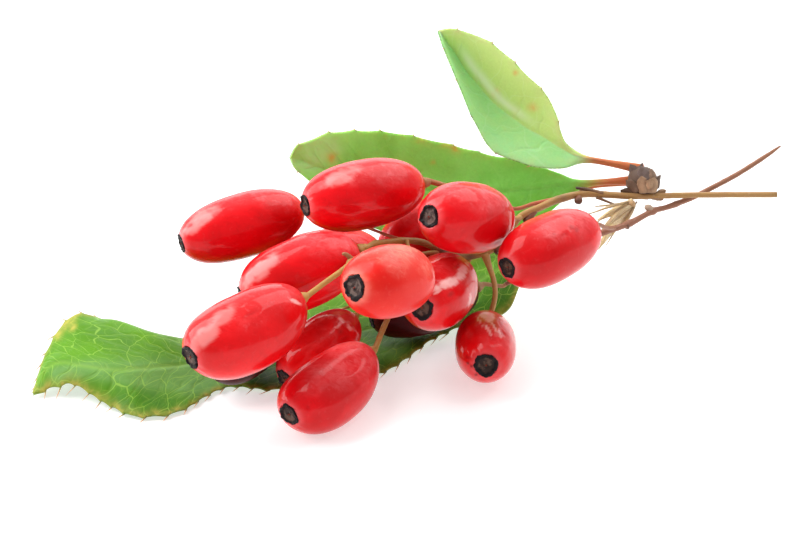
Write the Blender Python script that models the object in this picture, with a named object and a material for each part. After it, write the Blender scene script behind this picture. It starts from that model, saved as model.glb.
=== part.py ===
"""A cut barberry sprig lying on a table.

Ripe oblong berries hang on two slender stems. Three spiny leaves grow from a short
woody spur, above some dry bracts. Two berries and the long front leaf touch the table.

Places are written in millimetres as seen from the front and a little from above:
how far right, how far up and how far deep. The function place turns them into the
world, where +X is right, +Y is away and +Z is up.
"""
import math
from collections import namedtuple

import bmesh
import bpy
from mathutils import Matrix, Vector

MM = 0.001
SIGHT_ELEVATION = math.radians(24.0)
SIGHT_HEIGHT = 9.9
MIDDLE_RIGHT = 1.6
MIDDLE_BACK = 2.3

GAP = 0.12
WELD = 1e-6

BERRY_SIDES = 16
BERRY_RINGS = 11
STALK_END_SWELL = 2.25
FREE_END_SWELL = 2.6
BERRY_ROUND = 2.05
BERRY_TIP = 0.92
STIGMA_SIDES = 10
STIGMA_HEIGHT = 0.32
STIGMA_RIM = 0.22
STIGMA_DISH = 0.12
STIGMA_FOOT = 0.86

STALK_SEAT = 0.52
STALK_NECK = 0.4
STALK_RUN = 0.75
TUBE_STEPS = 2

LEAF_THICKNESS = 0.6
LEAF_ACROSS = 6
TOOTH_OUT = 0.75
TOOTH_FORWARD = 0.7

# Finishes: name, colour and roughness.
SKIN_RED = ("berry red", (0.62, 0.012, 0.018), 0.3)
SKIN_CORAL = ("berry coral", (0.72, 0.05, 0.04), 0.3)
SKIN_DARK = ("berry dark", (0.2, 0.006, 0.012), 0.3)
STIGMA_BROWN = ("stigma brown", (0.03, 0.015, 0.012), 0.6)
STEM_TAN = ("stem tan", (0.33, 0.2, 0.06), 0.6)
STEM_RUST = ("stem rust", (0.35, 0.13, 0.06), 0.6)
SPUR_BROWN = ("spur brown", (0.18, 0.1, 0.07), 0.8)
BRACT_STRAW = ("bract straw", (0.6, 0.45, 0.22), 0.8)
LEAF_FRESH = ("leaf fresh green", (0.16, 0.36, 0.05), 0.5)
LEAF_LIGHT = ("leaf light green", (0.25, 0.42, 0.08), 0.5)
LEAF_DEEP = ("leaf deep green", (0.1, 0.28, 0.05), 0.5)

Berry = namedtuple("Berry", "right up deep turn lean length width scar sag skin rests")

BERRIES = (
    Berry(-14.1, 4.12, 4.0, 197, 16, 11.8, 5.8, 0.8, 0, SKIN_RED, False),
    Berry(-3.2, 6.87, 2.0, 192, 24, 11.8, 6.1, 0.92, 0, SKIN_RED, False),
    Berry(5.88, 4.75, 0.0, 180, 48, 10.5, 6.3, 0.98, 0, SKIN_RED, False),
    Berry(13.2, 2.15, 0.4, 204, 37, 11.3, 6.1, 0.88, 0, SKIN_RED, False),
    Berry(-0.93, -0.76, -9.1, 190, 52, 9.6, 6.15, 1.02, 0, SKIN_CORAL, False),
    Berry(3.48, -1.68, 0.75, 221, 64, 10.3, 6.2, 1.0, 0, SKIN_RED, False),
    Berry(-8.6, -0.15, -1.8, 202, 8, 11.2, 6.3, 0.9, 0, SKIN_RED, False),
    Berry(-12.75, -4.6, -9.5, 208, 30, 11.7, 6.6, 1.0, 0.45, SKIN_RED, False),
    Berry(-6.0, -9.45, -5.4, 216, 40, 10.9, 6.15, 0.94, 0.6, SKIN_RED, True),
    Berry(-7.1, -6.75, 1.0, 222, 33, 9.6, 5.2, 0.9, 0, SKIN_RED, False),
    Berry(7.6, -6.53, 2.85, 264, 73, 11.2, 5.45, 1.0, 0, SKIN_RED, True),
    Berry(-6.9, 0.9, 9.3, 190, 8, 11.0, 6.1, 0.9, 0, SKIN_RED, False),
    Berry(2.75, 3.75, 7.7, 208, 25, 10.8, 5.9, 0.9, 0, SKIN_RED, False),
    Berry(2.2, -2.85, 8.55, 197, 10, 10.6, 5.6, 0.85, 0, SKIN_DARK, False),
    Berry(-13.75, -6.75, 0.3, 215, 62, 10.0, 5.4, 0.85, 0, SKIN_DARK, False),
)

# Stems: points of (right, up, deep, radius).
MAIN_AXIS = (
    (34.6, 7.1, 8.5, 0.27), (27.6, 7.1, 9.3, 0.27), (21.6, 7.0, 9.7, 0.3),
    (17.2, 7.2, 9.4, 0.34), (14.7, 6.7, 8.6, 0.34), (12.8, 5.9, 7.6, 0.33),
    (10.9, 5.0, 6.8, 0.31), (9.9, 3.6, 6.2, 0.28), (9.0, 2.6, 6.2, 0.28),
    (7.9, 1.8, 6.4, 0.3), (6.5, 1.5, 6.8, 0.28), (4.9, 1.5, 6.0, 0.26),
    (3.7, 1.9, 4.7, 0.28), (2.1, 2.6, 3.4, 0.26), (0.6, 2.8, 2.6, 0.25), (-0.7, 2.7, 1.6, 0.24), (-2.2, 2.5, 0.0, 0.24),
)
UPPER_SHOOTS = (
    ((0.6, 2.8, 2.6, 0.16), (-0.9, 3.2, 3.4, 0.14), (-2.7, 3.9, 4.6, 0.14), (-5.0, 4.8, 5.4, 0.14)),
    ((14.3, 6.7, 8.5, 0.2), (12.4, 6.3, 8.7, 0.19), (10.4, 5.8, 8.4, 0.19), (7.9, 6.5, 7.2, 0.2), (5.4, 7.35, 5.6, 0.25)),
    ((10.9, 5.0, 6.8, 0.2), (10.8, 4.9, 5.8, 0.18)),
    ((2.1, 2.6, 3.4, 0.18), (1.8, 2.0, 1.2, 0.16), (2.0, 1.1, -1.4, 0.16), (2.5, 0.15, -3.4, 0.17)),
    ((6.5, 1.5, 6.8, 0.2), (6.2, 0.9, 6.9, 0.18)),
    ((3.7, 1.9, 4.7, 0.2), (1.5, 1.5, 2.4, 0.2), (-0.9, 0.9, -0.2, 0.21), (-2.9, 0.85, -2.6, 0.22), (-4.1, 1.05, -3.8, 0.26), (-4.6, 0.4, -4.6, 0.24), (-6.5, -1.0, -5.6, 0.24)),
    ((4.2, 1.7, 5.4, 0.2), (2.6, 1.2, 4.8, 0.18), (0.9, -0.5, 4.8, 0.2), (0.2, -2.3, 3.4, 0.22), (-0.8, -3.6, 1.9, 0.24), (-1.45, -4.9, 0.3, 0.26)),
    ((0.2, -2.3, 3.4, 0.16), (-0.7, -3.0, 4.2, 0.15), (-2.2, -3.5, 4.4, 0.16)),
    ((7.7, 1.7, 6.4, 0.28), (8.1, 0.5, 6.6, 0.25), (8.55, -0.8, 7.2, 0.24), (8.7, -2.2, 8.2, 0.24), (8.4, -3.6, 9.1, 0.25)),
    ((4.9, 1.5, 6.0, 0.18), (4.7, 0.85, 7.3, 0.15), (3.7, 0.52, 8.9, 0.15), (1.6, 0.6, 10.3, 0.15)),
    ((10.4, 5.8, 8.4, 0.15), (9.5, 6.4, 9.6, 0.15)),
    ((-0.6, -2.9, 4.1, 0.14), (-2.5, -2.7, 5.2, 0.13), (-4.8, -3.2, 5.8, 0.13),
     (-7.4, -4.5, 6.6, 0.13), (-10.0, -5.2, 6.2, 0.13)),
)
UPPER_BERRIES = (0, 1, 2, 4, 5, 7, 8, 9, 10, 11, 12, 14)
AXIS_END_BERRY = 6
UPPER_STUBS = (
    ((16.0, 7.85, 9.1, 0.08), (17.4, 7.6, 9.3, 0.14), (18.7, 7.2, 9.5, 0.2)),
    ((18.1, 6.9, 9.4, 0.16), (19.8, 6.25, 9.5, 0.09), (21.3, 6.0, 9.6, 0.09), (21.9, 6.5, 9.5, 0.07)),
    ((16.5, 7.0, 9.0, 0.2), (16.4, 6.6, 8.8, 0.4), (16.3, 6.3, 8.7, 0.25)),
    ((12.3, 5.6, 7.4, 0.3), (11.6, 4.75, 7.1, 0.38), (11.4, 4.5, 7.0, 0.28)),
    ((9.0, 2.6, 6.2, 0.3), (8.9, 2.1, 5.8, 0.4), (8.7, 1.7, 5.6, 0.22)),
    ((-4.1, 1.05, -3.8, 0.26), (-4.6, 1.5, -4.2, 0.18), (-4.9, 1.55, -4.4, 0.12)),
)
LOWER_AXIS = (
    (35.3, 11.7, 10.5, 0.08), (34.0, 10.8, 10.4, 0.2), (31.3, 9.1, 10.2, 0.24),
    (28.3, 7.5, 10.0, 0.25), (26.6, 6.7, 9.95, 0.26), (24.7, 6.0, 9.9, 0.26),
    (23.3, 5.6, 9.4, 0.27), (20.9, 4.4, 8.2, 0.28), (18.5, 3.6, 7.0, 0.27),
    (16.4, 2.7, 7.3, 0.24), (13.8, 1.5, 8.4, 0.22), (11.3, -0.4, 9.6, 0.21),
    (9.8, -1.1, 10.1, 0.2),
)
LOWER_SHOOT = ((19.6, 4.0, 7.5, 0.22), (18.7, 4.0, 5.7, 0.2))
LOWER_END_BERRY = 13
LOWER_BERRY = 3
LOWER_STUBS = (
    ((23.3, 5.6, 9.4, 0.3), (22.9, 5.9, 9.3, 0.34), (22.6, 6.0, 9.2, 0.2)),
    ((20.9, 4.4, 8.2, 0.28), (20.7, 4.1, 8.0, 0.3)),
)

# Leaves: lines from tip to stalk, the first and last of them the leaf's two edges.
Leaf = namedtuple("Leaf", "lines stations fold tooth pitch toothed")
FRONT_LEAF = Leaf(
    lines=(
        ((-32.0, -10.7, -0.5), (-30.5, -10.4, -0.6), (-29.5, -10.1, -0.9), (-28.3, -9.95, -1.0),
         (-25.0, -11.7, -2.7), (-22.5, -12.5, -4.4), (-19.1, -12.2, -3.9), (-15.3, -10.3, 0.4),
         (-10.9, -10.5, 0.0), (-6.2, -9.8, 1.6), (-1.8, -9.2, 3.0), (0.6, -8.0, 5.6),
         (3.1, -6.3, 8.8), (6.5, -5.0, 10.3), (9.8, -3.8, 11.2), (11.1, -1.6, 12.4),
         (12.3, 1.7, 15.0), (13.4, 5.0, 15.2), (15.4, 6.8, 14.4), (17.9, 7.8, 13.2), (22.2, 8.1, 11.8)),
        ((-32.0, -10.7, -0.5), (-31.2, -8.8, 0.7), (-29.9, -8.0, 0.7), (-27.8, -8.2, -0.3),
         (-24.9, -8.5, -1.2), (-22.7, -8.5, -0.6), (-19.3, -8.3, 2.2), (-15.7, -7.9, 5.5),
         (-11.4, -7.1, 7.6), (-6.5, -6.1, 9.9), (-1.9, -5.2, 11.9), (0.7, -4.3, 13.6),
         (3.8, -3.0, 15.3), (6.7, -1.4, 15.2), (9.5, 0.4, 14.8), (10.7, 1.6, 15.4),
         (11.9, 4.0, 16.0), (13.7, 6.0, 15.4), (15.6, 7.3, 14.4), (18.0, 8.15, 13.2), (22.2, 8.4, 11.75)),
        ((-32.0, -10.7, -0.5), (-31.5, -8.4, 1.8), (-30.7, -7.2, 2.7), (-29.3, -6.4, 2.9),
         (-28.2, -5.4, 3.8), (-26.0, -4.6, 6.1), (-21.6, -5.8, 5.0), (-17.4, -6.4, 9.0),
         (-12.8, -5.0, 10.8), (-7.0, -4.1, 13.2), (-2.4, -3.2, 15.0), (0.6, -2.3, 16.1),
         (3.9, -1.2, 16.8), (7.0, 0.2, 16.4), (9.5, 1.7, 16.1), (10.6, 2.7, 16.4),
         (12.0, 4.7, 16.3), (13.9, 6.5, 15.4), (15.7, 7.6, 14.4), (18.05, 8.3, 13.2), (22.2, 8.55, 11.7)),
        ((-32.0, -10.7, -0.5), (-31.8, -8.0, 2.9), (-31.4, -6.4, 4.6), (-30.8, -4.9, 6.0),
         (-29.1, -3.7, 7.0), (-26.0, -4.9, 8.9), (-21.6, -6.2, 9.6), (-17.4, -6.5, 10.9),
         (-13.0, -4.9, 12.3), (-7.6, -2.3, 16.2), (-2.9, -1.4, 17.9), (0.5, -0.5, 18.3),
         (3.9, 0.5, 18.0), (7.2, 1.6, 17.2), (9.4, 2.8, 17.0), (10.4, 3.8, 17.0),
         (12.0, 5.4, 16.4), (14.0, 6.9, 15.4), (15.8, 7.8, 14.4), (18.1, 8.5, 13.2), (22.2, 8.7, 11.7)),
    ),
    stations=46, fold=0.25, tooth=0.9, pitch=2, toothed=34)
BACK_LEAF = Leaf(
    lines=(
        ((-10.4, 10.8, 13.6), (-9.9, 9.7, 13.8), (-8.2, 8.1, 14.0), (-6.1, 6.5, 14.2),
         (-3.3, 4.6, 14.4), (0.0, 2.9, 14.6), (3.8, 2.2, 14.8), (7.6, 2.6, 14.6),
         (11.0, 3.7, 14.0), (13.9, 5.5, 13.2), (16.3, 7.4, 12.4), (18.8, 8.1, 11.9), (21.5, 8.2, 11.2)),
        ((-10.4, 10.8, 13.6), (-9.5, 10.6, 14.0), (-7.4, 9.8, 14.3), (-5.2, 9.1, 14.5),
         (-2.4, 8.5, 14.7), (0.5, 8.1, 14.8), (3.8, 7.7, 14.8), (7.6, 7.6, 14.4),
         (10.8, 7.6, 13.6), (13.9, 7.9, 13.0), (16.4, 8.2, 12.4), (18.9, 8.4, 11.9), (21.5, 8.5, 11.2)),
        ((-10.4, 10.8, 13.6), (-9.7, 12.0, 13.4), (-8.0, 12.8, 13.2), (-6.2, 13.3, 13.0),
         (-3.1, 13.4, 12.8), (0.0, 13.1, 12.8), (3.8, 12.3, 12.9), (8.1, 11.2, 12.9),
         (12.2, 10.2, 12.9), (14.9, 9.3, 12.7), (16.5, 8.7, 12.3), (19.0, 8.7, 11.8), (21.5, 8.8, 11.2)),
    ),
    stations=30, fold=0.2, tooth=0.45, pitch=3, toothed=22)
UPRIGHT_LEAF = Leaf(
    lines=(
        ((3.6, 22.4, 10.8), (3.9, 21.2, 10.4), (4.4, 19.7, 10.2), (5.2, 17.8, 10.0),
         (6.0, 15.7, 10.0), (6.9, 13.7, 10.1), (8.0, 11.7, 10.2), (9.8, 10.4, 10.3),
         (12.6, 9.7, 10.5), (15.1, 9.6, 10.7), (16.9, 10.1, 10.8), (18.6, 10.0, 10.7), (21.4, 9.5, 10.5)),
        ((3.6, 22.4, 10.8), (4.3, 21.5, 11.6), (5.2, 20.4, 12.4), (6.2, 18.9, 12.9),
         (7.4, 17.5, 13.1), (8.7, 16.0, 13.1), (10.3, 14.7, 12.8), (12.0, 13.4, 12.2),
         (13.7, 12.4, 11.6), (15.0, 11.5, 11.2), (16.8, 10.6, 11.0), (18.5, 10.3, 10.8), (21.4, 9.8, 10.5)),
        ((3.6, 22.4, 10.8), (4.8, 22.6, 10.6), (6.7, 22.2, 10.2), (8.9, 21.0, 9.8),
         (11.0, 19.1, 9.6), (12.7, 17.4, 9.6), (13.9, 16.1, 9.8), (14.6, 14.5, 10.1),
         (14.9, 13.1, 10.4), (15.5, 11.9, 10.7), (16.9, 11.0, 10.9), (18.4, 10.6, 10.8), (21.4, 10.1, 10.5)),
    ),
    stations=30, fold=0.6, tooth=0.4, pitch=3, toothed=22)

# The spur: cones of (right, up, deep) at each end, with their two radii.
SPUR_SCALES = (
    ((23.4, 7.75, 10.3), (22.9, 8.6, 10.3), 0.75, 1.15),
    ((22.95, 8.3, 10.3), (22.5, 9.3, 10.4), 1.15, 1.05),
    ((22.6, 9.0, 10.4), (22.2, 9.9, 10.5), 1.0, 0.6),
    ((22.9, 8.3, 9.7), (23.2, 9.9, 9.5), 0.55, 0.12),
    ((23.3, 8.3, 10.4), (24.1, 9.5, 10.5), 0.5, 0.12),
    ((22.6, 8.7, 9.8), (22.2, 9.7, 9.3), 0.5, 0.12),
    ((22.8, 8.5, 10.9), (22.7, 9.8, 11.5), 0.5, 0.12),
    ((23.5, 8.0, 10.2), (24.5, 7.6, 10.1), 0.45, 0.15),
)
SPUR_SIDES = 9

# Dry bracts: strips of (right, up, deep) points with their widest half width.
BRACT_ROOT = (21.3, 6.3, 8.95)
BRACTS = (
    ((21.3, 6.3, 8.9), (19.9, 5.5, 8.7), (18.4, 4.7, 8.8), 0.55),
    ((21.3, 6.2, 9.0), (20.3, 5.3, 9.4), (19.2, 3.9, 9.6), (18.2, 2.4, 9.2), 0.5),
    ((21.3, 6.35, 8.9), (19.6, 6.05, 8.3), (17.4, 5.4, 8.1), 0.25),
)
BRACT_THICKNESS = 0.5
BRACT_STEPS = 6


def clear_scene():
    """Removes every object that the scene starts with."""
    for item in list(bpy.context.scene.objects):
        bpy.data.objects.remove(item, do_unlink=True)


def place(right, up, deep):
    """The world point, in metres, of a place seen from the front."""
    back = up * math.sin(SIGHT_ELEVATION) + deep * math.cos(SIGHT_ELEVATION)
    high = up * math.cos(SIGHT_ELEVATION) - deep * math.sin(SIGHT_ELEVATION)
    return Vector((right - MIDDLE_RIGHT, back - MIDDLE_BACK, high + SIGHT_HEIGHT)) * MM


def heading(turn, lean):
    """The world direction that is turned in the picture and leans to the viewer, in degrees."""
    turn, lean = math.radians(turn), math.radians(lean)
    flat = math.cos(lean)
    tip = place(math.cos(turn) * flat, math.sin(turn) * flat, -math.sin(lean))
    return (tip - place(0, 0, 0)).normalized()


def finish(name, colour, roughness):
    """A plain Principled material, shared by name."""
    material = bpy.data.materials.get(name)
    if material:
        return material
    material = bpy.data.materials.new(name)
    material.use_nodes = True
    shader = material.node_tree.nodes["Principled BSDF"]
    shader.inputs["Base Color"].default_value = (*colour, 1)
    shader.inputs["Roughness"].default_value = roughness
    shader.inputs["Metallic"].default_value = 0.0
    return material


def add_object(name, mesh_data, material, smooth=True):
    """Links a mesh as a named object with its material."""
    item = bpy.data.objects.new(name, mesh_data)
    bpy.context.scene.collection.objects.link(item)
    mesh_data.materials.append(material)
    if smooth:
        mesh_data.shade_smooth()
    return item


def mesh_of(name, bm):
    """Closes a bmesh into a mesh with outward faces."""
    bmesh.ops.recalc_face_normals(bm, faces=bm.faces)
    data = bpy.data.meshes.new(name)
    bm.to_mesh(data)
    bm.free()
    return data


def curve_point(points, t):
    """A point at t from 0 to 1 on the smooth curve through the given points."""
    spans = len(points) - 1
    at = min(t * spans, spans - 1e-9)
    i = int(at)
    f = at - i
    before = points[i - 1] if i else 2 * points[0] - points[1]
    after = points[i + 2] if i + 2 <= spans else 2 * points[-1] - points[-2]
    a, b = points[i], points[i + 1]
    return 0.5 * ((2 * a) + (b - before) * f + (2 * before - 5 * a + 4 * b - after) * f ** 2
                  + (3 * a - 3 * b + after - before) * f ** 3)


def berry_radius(t):
    """The berry's radius at t from -1 at its stalk to 1, as a share of its half width."""
    swell = FREE_END_SWELL if t > 0 else STALK_END_SWELL
    return max(0.0, 1 - abs(t) ** swell) ** (1 / BERRY_ROUND)


def stand(direction, point):
    """A matrix that turns +Z to the direction and moves to the point."""
    return Matrix.Translation(point) @ direction.to_track_quat("Z", "Y").to_matrix().to_4x4()


def cut_at_table(bm, matrix):
    """Cuts off what is below the table, which leaves a small flat spot."""
    down = matrix.inverted()
    bmesh.ops.transform(bm, matrix=matrix, verts=bm.verts)
    geometry = bm.verts[:] + bm.edges[:] + bm.faces[:]
    cut = bmesh.ops.bisect_plane(bm, geom=geometry, plane_co=(0, 0, 0), plane_no=(0, 0, -1),
                                 clear_outer=True)
    rim = [e for e in cut["geom_cut"] if isinstance(e, bmesh.types.BMEdge)]
    bmesh.ops.contextual_create(bm, geom=rim)
    bmesh.ops.transform(bm, matrix=down, verts=bm.verts)


def make_berry(number, berry):
    """One berry, spun about its long axis, with its stalk end down."""
    half = berry.length / 2 * MM
    swell = berry.width / 2 * MM
    steps = [math.sin(math.pi * (i / BERRY_RINGS - 0.5)) for i in range(BERRY_RINGS)]
    steps = [t for t in steps if t < BERRY_TIP] + [BERRY_TIP]
    bm = bmesh.new()
    profile = [bm.verts.new((swell * berry_radius(t), 0, half * t)) for t in steps]
    profile.append(bm.verts.new((0, 0, half * BERRY_TIP)))
    for low, high in zip(profile, profile[1:]):
        bm.edges.new((low, high))
    bmesh.ops.spin(bm, geom=bm.verts[:] + bm.edges[:], cent=(0, 0, 0), axis=(0, 0, 1),
                   angle=math.tau, steps=BERRY_SIDES, use_merge=True)
    bmesh.ops.remove_doubles(bm, verts=bm.verts, dist=WELD)
    matrix = stand(heading(berry.turn, berry.lean), place(berry.right, berry.up, berry.deep))
    down = matrix.to_3x3().inverted() @ (place(0, -berry.sag, 0) - place(0, 0, 0))
    for vert in bm.verts:
        vert.co += down * (1 - (vert.co.z / half) ** 2)
    if berry.rests:
        cut_at_table(bm, matrix)
    item = add_object(f"berry_{number:02d}", mesh_of("berry", bm), finish(*berry.skin))
    item.matrix_world = matrix
    return item


def make_stigma(number, berry):
    """The dry dished disc on the berry's free end."""
    bm = bmesh.new()
    size = berry.scar * MM
    bmesh.ops.create_cone(bm, cap_ends=True, segments=STIGMA_SIDES, radius1=size * STIGMA_FOOT,
                          radius2=size, depth=STIGMA_HEIGHT * MM)
    top = max(bm.faces, key=lambda face: face.calc_center_median().z)
    bmesh.ops.inset_region(bm, faces=[top], thickness=STIGMA_RIM * MM, depth=-STIGMA_DISH * MM)
    item = add_object(f"stigma_{number:02d}", mesh_of("stigma", bm), finish(*STIGMA_BROWN), False)
    axis = heading(berry.turn, berry.lean)
    rise = (berry.length / 2 * BERRY_TIP + STIGMA_HEIGHT / 2 + GAP) * MM
    item.matrix_world = stand(axis, place(berry.right, berry.up, berry.deep) + axis * rise)
    return item


def sweep(knots):
    """A closed round tube through knots of a world point and a radius, smooth between them."""
    steps = TUBE_STEPS * (len(knots) - 1)
    data = bpy.data.curves.new("guide", "CURVE")
    data.dimensions = "3D"
    data.bevel_depth = 1.0
    data.bevel_resolution = 1
    data.use_fill_caps = True
    spline = data.splines.new("POLY")
    spline.points.add(steps)
    for i, point in enumerate(spline.points):
        knot = curve_point(knots, i / steps)
        point.co = (*knot.xyz, 1)
        point.radius = knot.w
    guide = bpy.data.objects.new("guide", data)
    bpy.context.scene.collection.objects.link(guide)
    bpy.context.view_layer.update()
    bm = bmesh.new()
    bm.from_mesh(bpy.data.meshes.new_from_object(guide.evaluated_get(bpy.context.evaluated_depsgraph_get())))
    bpy.data.objects.remove(guide, do_unlink=True)
    bmesh.ops.remove_doubles(bm, verts=bm.verts, dist=WELD / 10)
    return mesh_of("tube", bm)


def tube(points):
    """A plain tube through points of a place and a radius."""
    return sweep([Vector((*place(*p[:3]), p[3] * MM)) for p in points])


def stalk(points, berry):
    """A tube that ends in a flared seat just short of the berry's stalk end."""
    axis = heading(berry.turn, berry.lean)
    seat = place(berry.right, berry.up, berry.deep) - axis * (berry.length / 2 + GAP) * MM
    width = points[-1][3]
    flare = ((STALK_RUN, width), (STALK_NECK, width * 1.25), (0.0, STALK_SEAT))
    knots = [Vector((*place(*p[:3]), p[3] * MM)) for p in points]
    return sweep(knots + [Vector((*(seat - axis * back * MM), radius * MM)) for back, radius in flare])


def fuse(name, pieces, material):
    """Joins closed meshes into one named body."""
    group = bpy.data.collections.new(f"{name} pieces")
    bpy.context.scene.collection.children.link(group)
    parts = [bpy.data.objects.new("piece", data) for data in pieces]
    for part in parts[1:]:
        group.objects.link(part)
    base = add_object(name, pieces[0], material)
    join = base.modifiers.new("join", "BOOLEAN")
    join.operation = "UNION"
    join.operand_type = "COLLECTION"
    join.collection = group
    join.solver = "EXACT"
    bpy.context.view_layer.update()
    joined = bpy.data.meshes.new_from_object(base.evaluated_get(bpy.context.evaluated_depsgraph_get()))
    base.modifiers.clear()
    base.data = joined
    for part in parts:
        bpy.data.objects.remove(part, do_unlink=True)
    bpy.data.collections.remove(group)
    joined.name = name
    return base


def make_upper_stem():
    """The main stem with the stalks of most berries."""
    pieces = [stalk(MAIN_AXIS, BERRIES[AXIS_END_BERRY])]
    pieces += [stalk(points, BERRIES[i]) for points, i in zip(UPPER_SHOOTS, UPPER_BERRIES)]
    pieces += [tube(points) for points in UPPER_STUBS]
    return fuse("stem_upper", pieces, finish(*STEM_TAN))


def make_lower_stem():
    """The second stem, which leans on the first and carries two berries."""
    pieces = [stalk(LOWER_AXIS, BERRIES[LOWER_END_BERRY]), stalk(LOWER_SHOOT, BERRIES[LOWER_BERRY])]
    pieces += [tube(points) for points in LOWER_STUBS]
    return fuse("stem_lower", pieces, finish(*STEM_RUST))


def leaf_point(leaf, along, across):
    """A point of the leaf's middle surface, across from 0 at its first edge to 1 at its last."""
    points = [curve_point([place(*p) for p in line], along) for line in leaf.lines]
    spans = len(points) - 1
    i = min(int(across * spans), spans - 1)
    crease = points[i].lerp(points[i + 1], across * spans - i)
    return curve_point(points, across).lerp(crease, leaf.fold)


def make_leaf(name, leaf, green):
    """A thin blade with spiny teeth that point to its tip."""
    bm = bmesh.new()
    bmesh.ops.create_grid(bm, x_segments=leaf.stations, y_segments=LEAF_ACROSS, size=1)
    rows = {}
    for vert in bm.verts:
        along = round((vert.co.x + 1) / 2 * leaf.stations)
        across = round((vert.co.y + 1) / 2 * LEAF_ACROSS)
        rows[along, across] = vert
        vert.co = leaf_point(leaf, along / leaf.stations, across / LEAF_ACROSS)
    bmesh.ops.triangulate(bm, faces=bm.faces)
    for side, inner in ((0, 1), (LEAF_ACROSS, LEAF_ACROSS - 1)):
        for i in range(1, leaf.toothed, leaf.pitch):
            near, far = rows[i, side], rows[i + 1, side]
            out = (near.co - rows[i, inner].co).normalized()
            forward = (near.co - far.co).normalized()
            spine = bm.verts.new(near.co + (out * TOOTH_OUT + forward * TOOTH_FORWARD) * leaf.tooth * MM)
            bm.faces.new((near, far, spine))
    bmesh.ops.remove_doubles(bm, verts=bm.verts, dist=WELD)
    bmesh.ops.dissolve_degenerate(bm, edges=bm.edges, dist=WELD)
    bmesh.ops.recalc_face_normals(bm, faces=bm.faces)
    bmesh.ops.solidify(bm, geom=bm.faces[:], thickness=LEAF_THICKNESS * MM)
    for vert in bm.verts:
        vert.co.z = max(vert.co.z, 0.0)
    return add_object(name, mesh_of(name, bm), finish(*green))


def make_spur():
    """The short woody spur, of overlapping bud scales."""
    pieces = []
    for low, high, wide, narrow in SPUR_SCALES:
        start, end = place(*low), place(*high)
        axis = end - start
        bm = bmesh.new()
        bmesh.ops.create_cone(bm, cap_ends=True, segments=SPUR_SIDES, radius1=wide * MM, radius2=narrow * MM,
                              depth=axis.length)
        bmesh.ops.transform(bm, matrix=stand(axis.normalized(), (start + end) / 2), verts=bm.verts)
        bmesh.ops.triangulate(bm, faces=bm.faces)
        pieces.append(mesh_of("scale", bm))
    return fuse("spur", pieces, finish(*SPUR_BROWN))


def bract(strip):
    """One dry bract: a thin strip that narrows to a point."""
    points = [place(*p) for p in strip[:-1]]
    half = strip[-1] * MM
    bm = bmesh.new()
    bmesh.ops.create_grid(bm, x_segments=BRACT_STEPS, y_segments=2, size=1)
    for vert in bm.verts:
        t = (vert.co.x + 1) / 2
        ahead = curve_point(points, min(1, t + 0.05)) - curve_point(points, max(0, t - 0.05))
        side = ahead.cross(Vector((0.2, 1, 0))).normalized()
        width = half * (0.35 + 0.65 * math.sin(math.pi * min(1, t * 0.8 + 0.2))) * (1 - 0.8 * t ** 4)
        vert.co = curve_point(points, t) + side * vert.co.y * width
    bmesh.ops.triangulate(bm, faces=bm.faces)
    bmesh.ops.recalc_face_normals(bm, faces=bm.faces)
    bmesh.ops.solidify(bm, geom=bm.faces[:], thickness=BRACT_THICKNESS * MM)
    return mesh_of("bract", bm)


def make_bracts():
    """The dry bracts, joined at their root below the spur."""
    bm = bmesh.new()
    bmesh.ops.create_icosphere(bm, subdivisions=1, radius=0.42 * MM)
    bmesh.ops.translate(bm, verts=bm.verts, vec=place(*BRACT_ROOT))
    pieces = [mesh_of("root", bm)] + [bract(strip) for strip in BRACTS]
    return fuse("bracts", pieces, finish(*BRACT_STRAW))


def main():
    """Builds the sprig."""
    clear_scene()
    for number, berry in enumerate(BERRIES, 1):
        make_berry(number, berry)
        make_stigma(number, berry)
    make_upper_stem()
    make_lower_stem()
    make_leaf("leaf_front", FRONT_LEAF, LEAF_FRESH)
    make_leaf("leaf_back", BACK_LEAF, LEAF_DEEP)
    make_leaf("leaf_upright", UPRIGHT_LEAF, LEAF_LIGHT)
    make_spur()
    make_bracts()


main()
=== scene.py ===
"""The looks of a barberry sprig that lies on a table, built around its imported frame.

Every berry, flower scar, stem, leaf, bud scale and bract is modelled and dressed here.
Places are written as the viewer sees them, in millimetres to the right, up and deep,
and the class Sight turns them into the frame's metres.
"""

import logging
import math
import random
from dataclasses import dataclass
from enum import Enum
from typing import Callable, Sequence

import bmesh
import bpy
import numpy as np
from mathutils import Matrix, Quaternion, Vector, noise


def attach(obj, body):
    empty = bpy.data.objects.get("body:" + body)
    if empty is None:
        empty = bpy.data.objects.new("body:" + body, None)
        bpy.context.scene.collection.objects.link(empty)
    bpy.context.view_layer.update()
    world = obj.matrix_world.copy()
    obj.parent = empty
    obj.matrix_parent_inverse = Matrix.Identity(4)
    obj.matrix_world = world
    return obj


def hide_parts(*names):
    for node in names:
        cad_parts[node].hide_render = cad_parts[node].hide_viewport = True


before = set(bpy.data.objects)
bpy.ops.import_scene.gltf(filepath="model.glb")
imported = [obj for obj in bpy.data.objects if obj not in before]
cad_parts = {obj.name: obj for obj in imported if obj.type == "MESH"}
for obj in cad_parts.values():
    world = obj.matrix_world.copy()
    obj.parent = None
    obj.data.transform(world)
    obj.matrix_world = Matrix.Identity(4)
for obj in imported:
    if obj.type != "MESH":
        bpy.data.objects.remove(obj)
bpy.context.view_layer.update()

LOG = logging.getLogger("sprig")
MM = 0.001
WELD = 1e-6
OUTLINE_WELD = 0.0005

Array = np.ndarray
BMesh = bmesh.types.BMesh
Colour = tuple[float, float, float]
Knot = tuple[float, float, float, float]
Layer = bmesh.types.BMLayerItem
Layers = dict[str, Layer]
Pair = tuple[float, float]
Point = tuple[float, float, float]
Socket = bpy.types.NodeSocket
Vert = bmesh.types.BMVert


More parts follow.
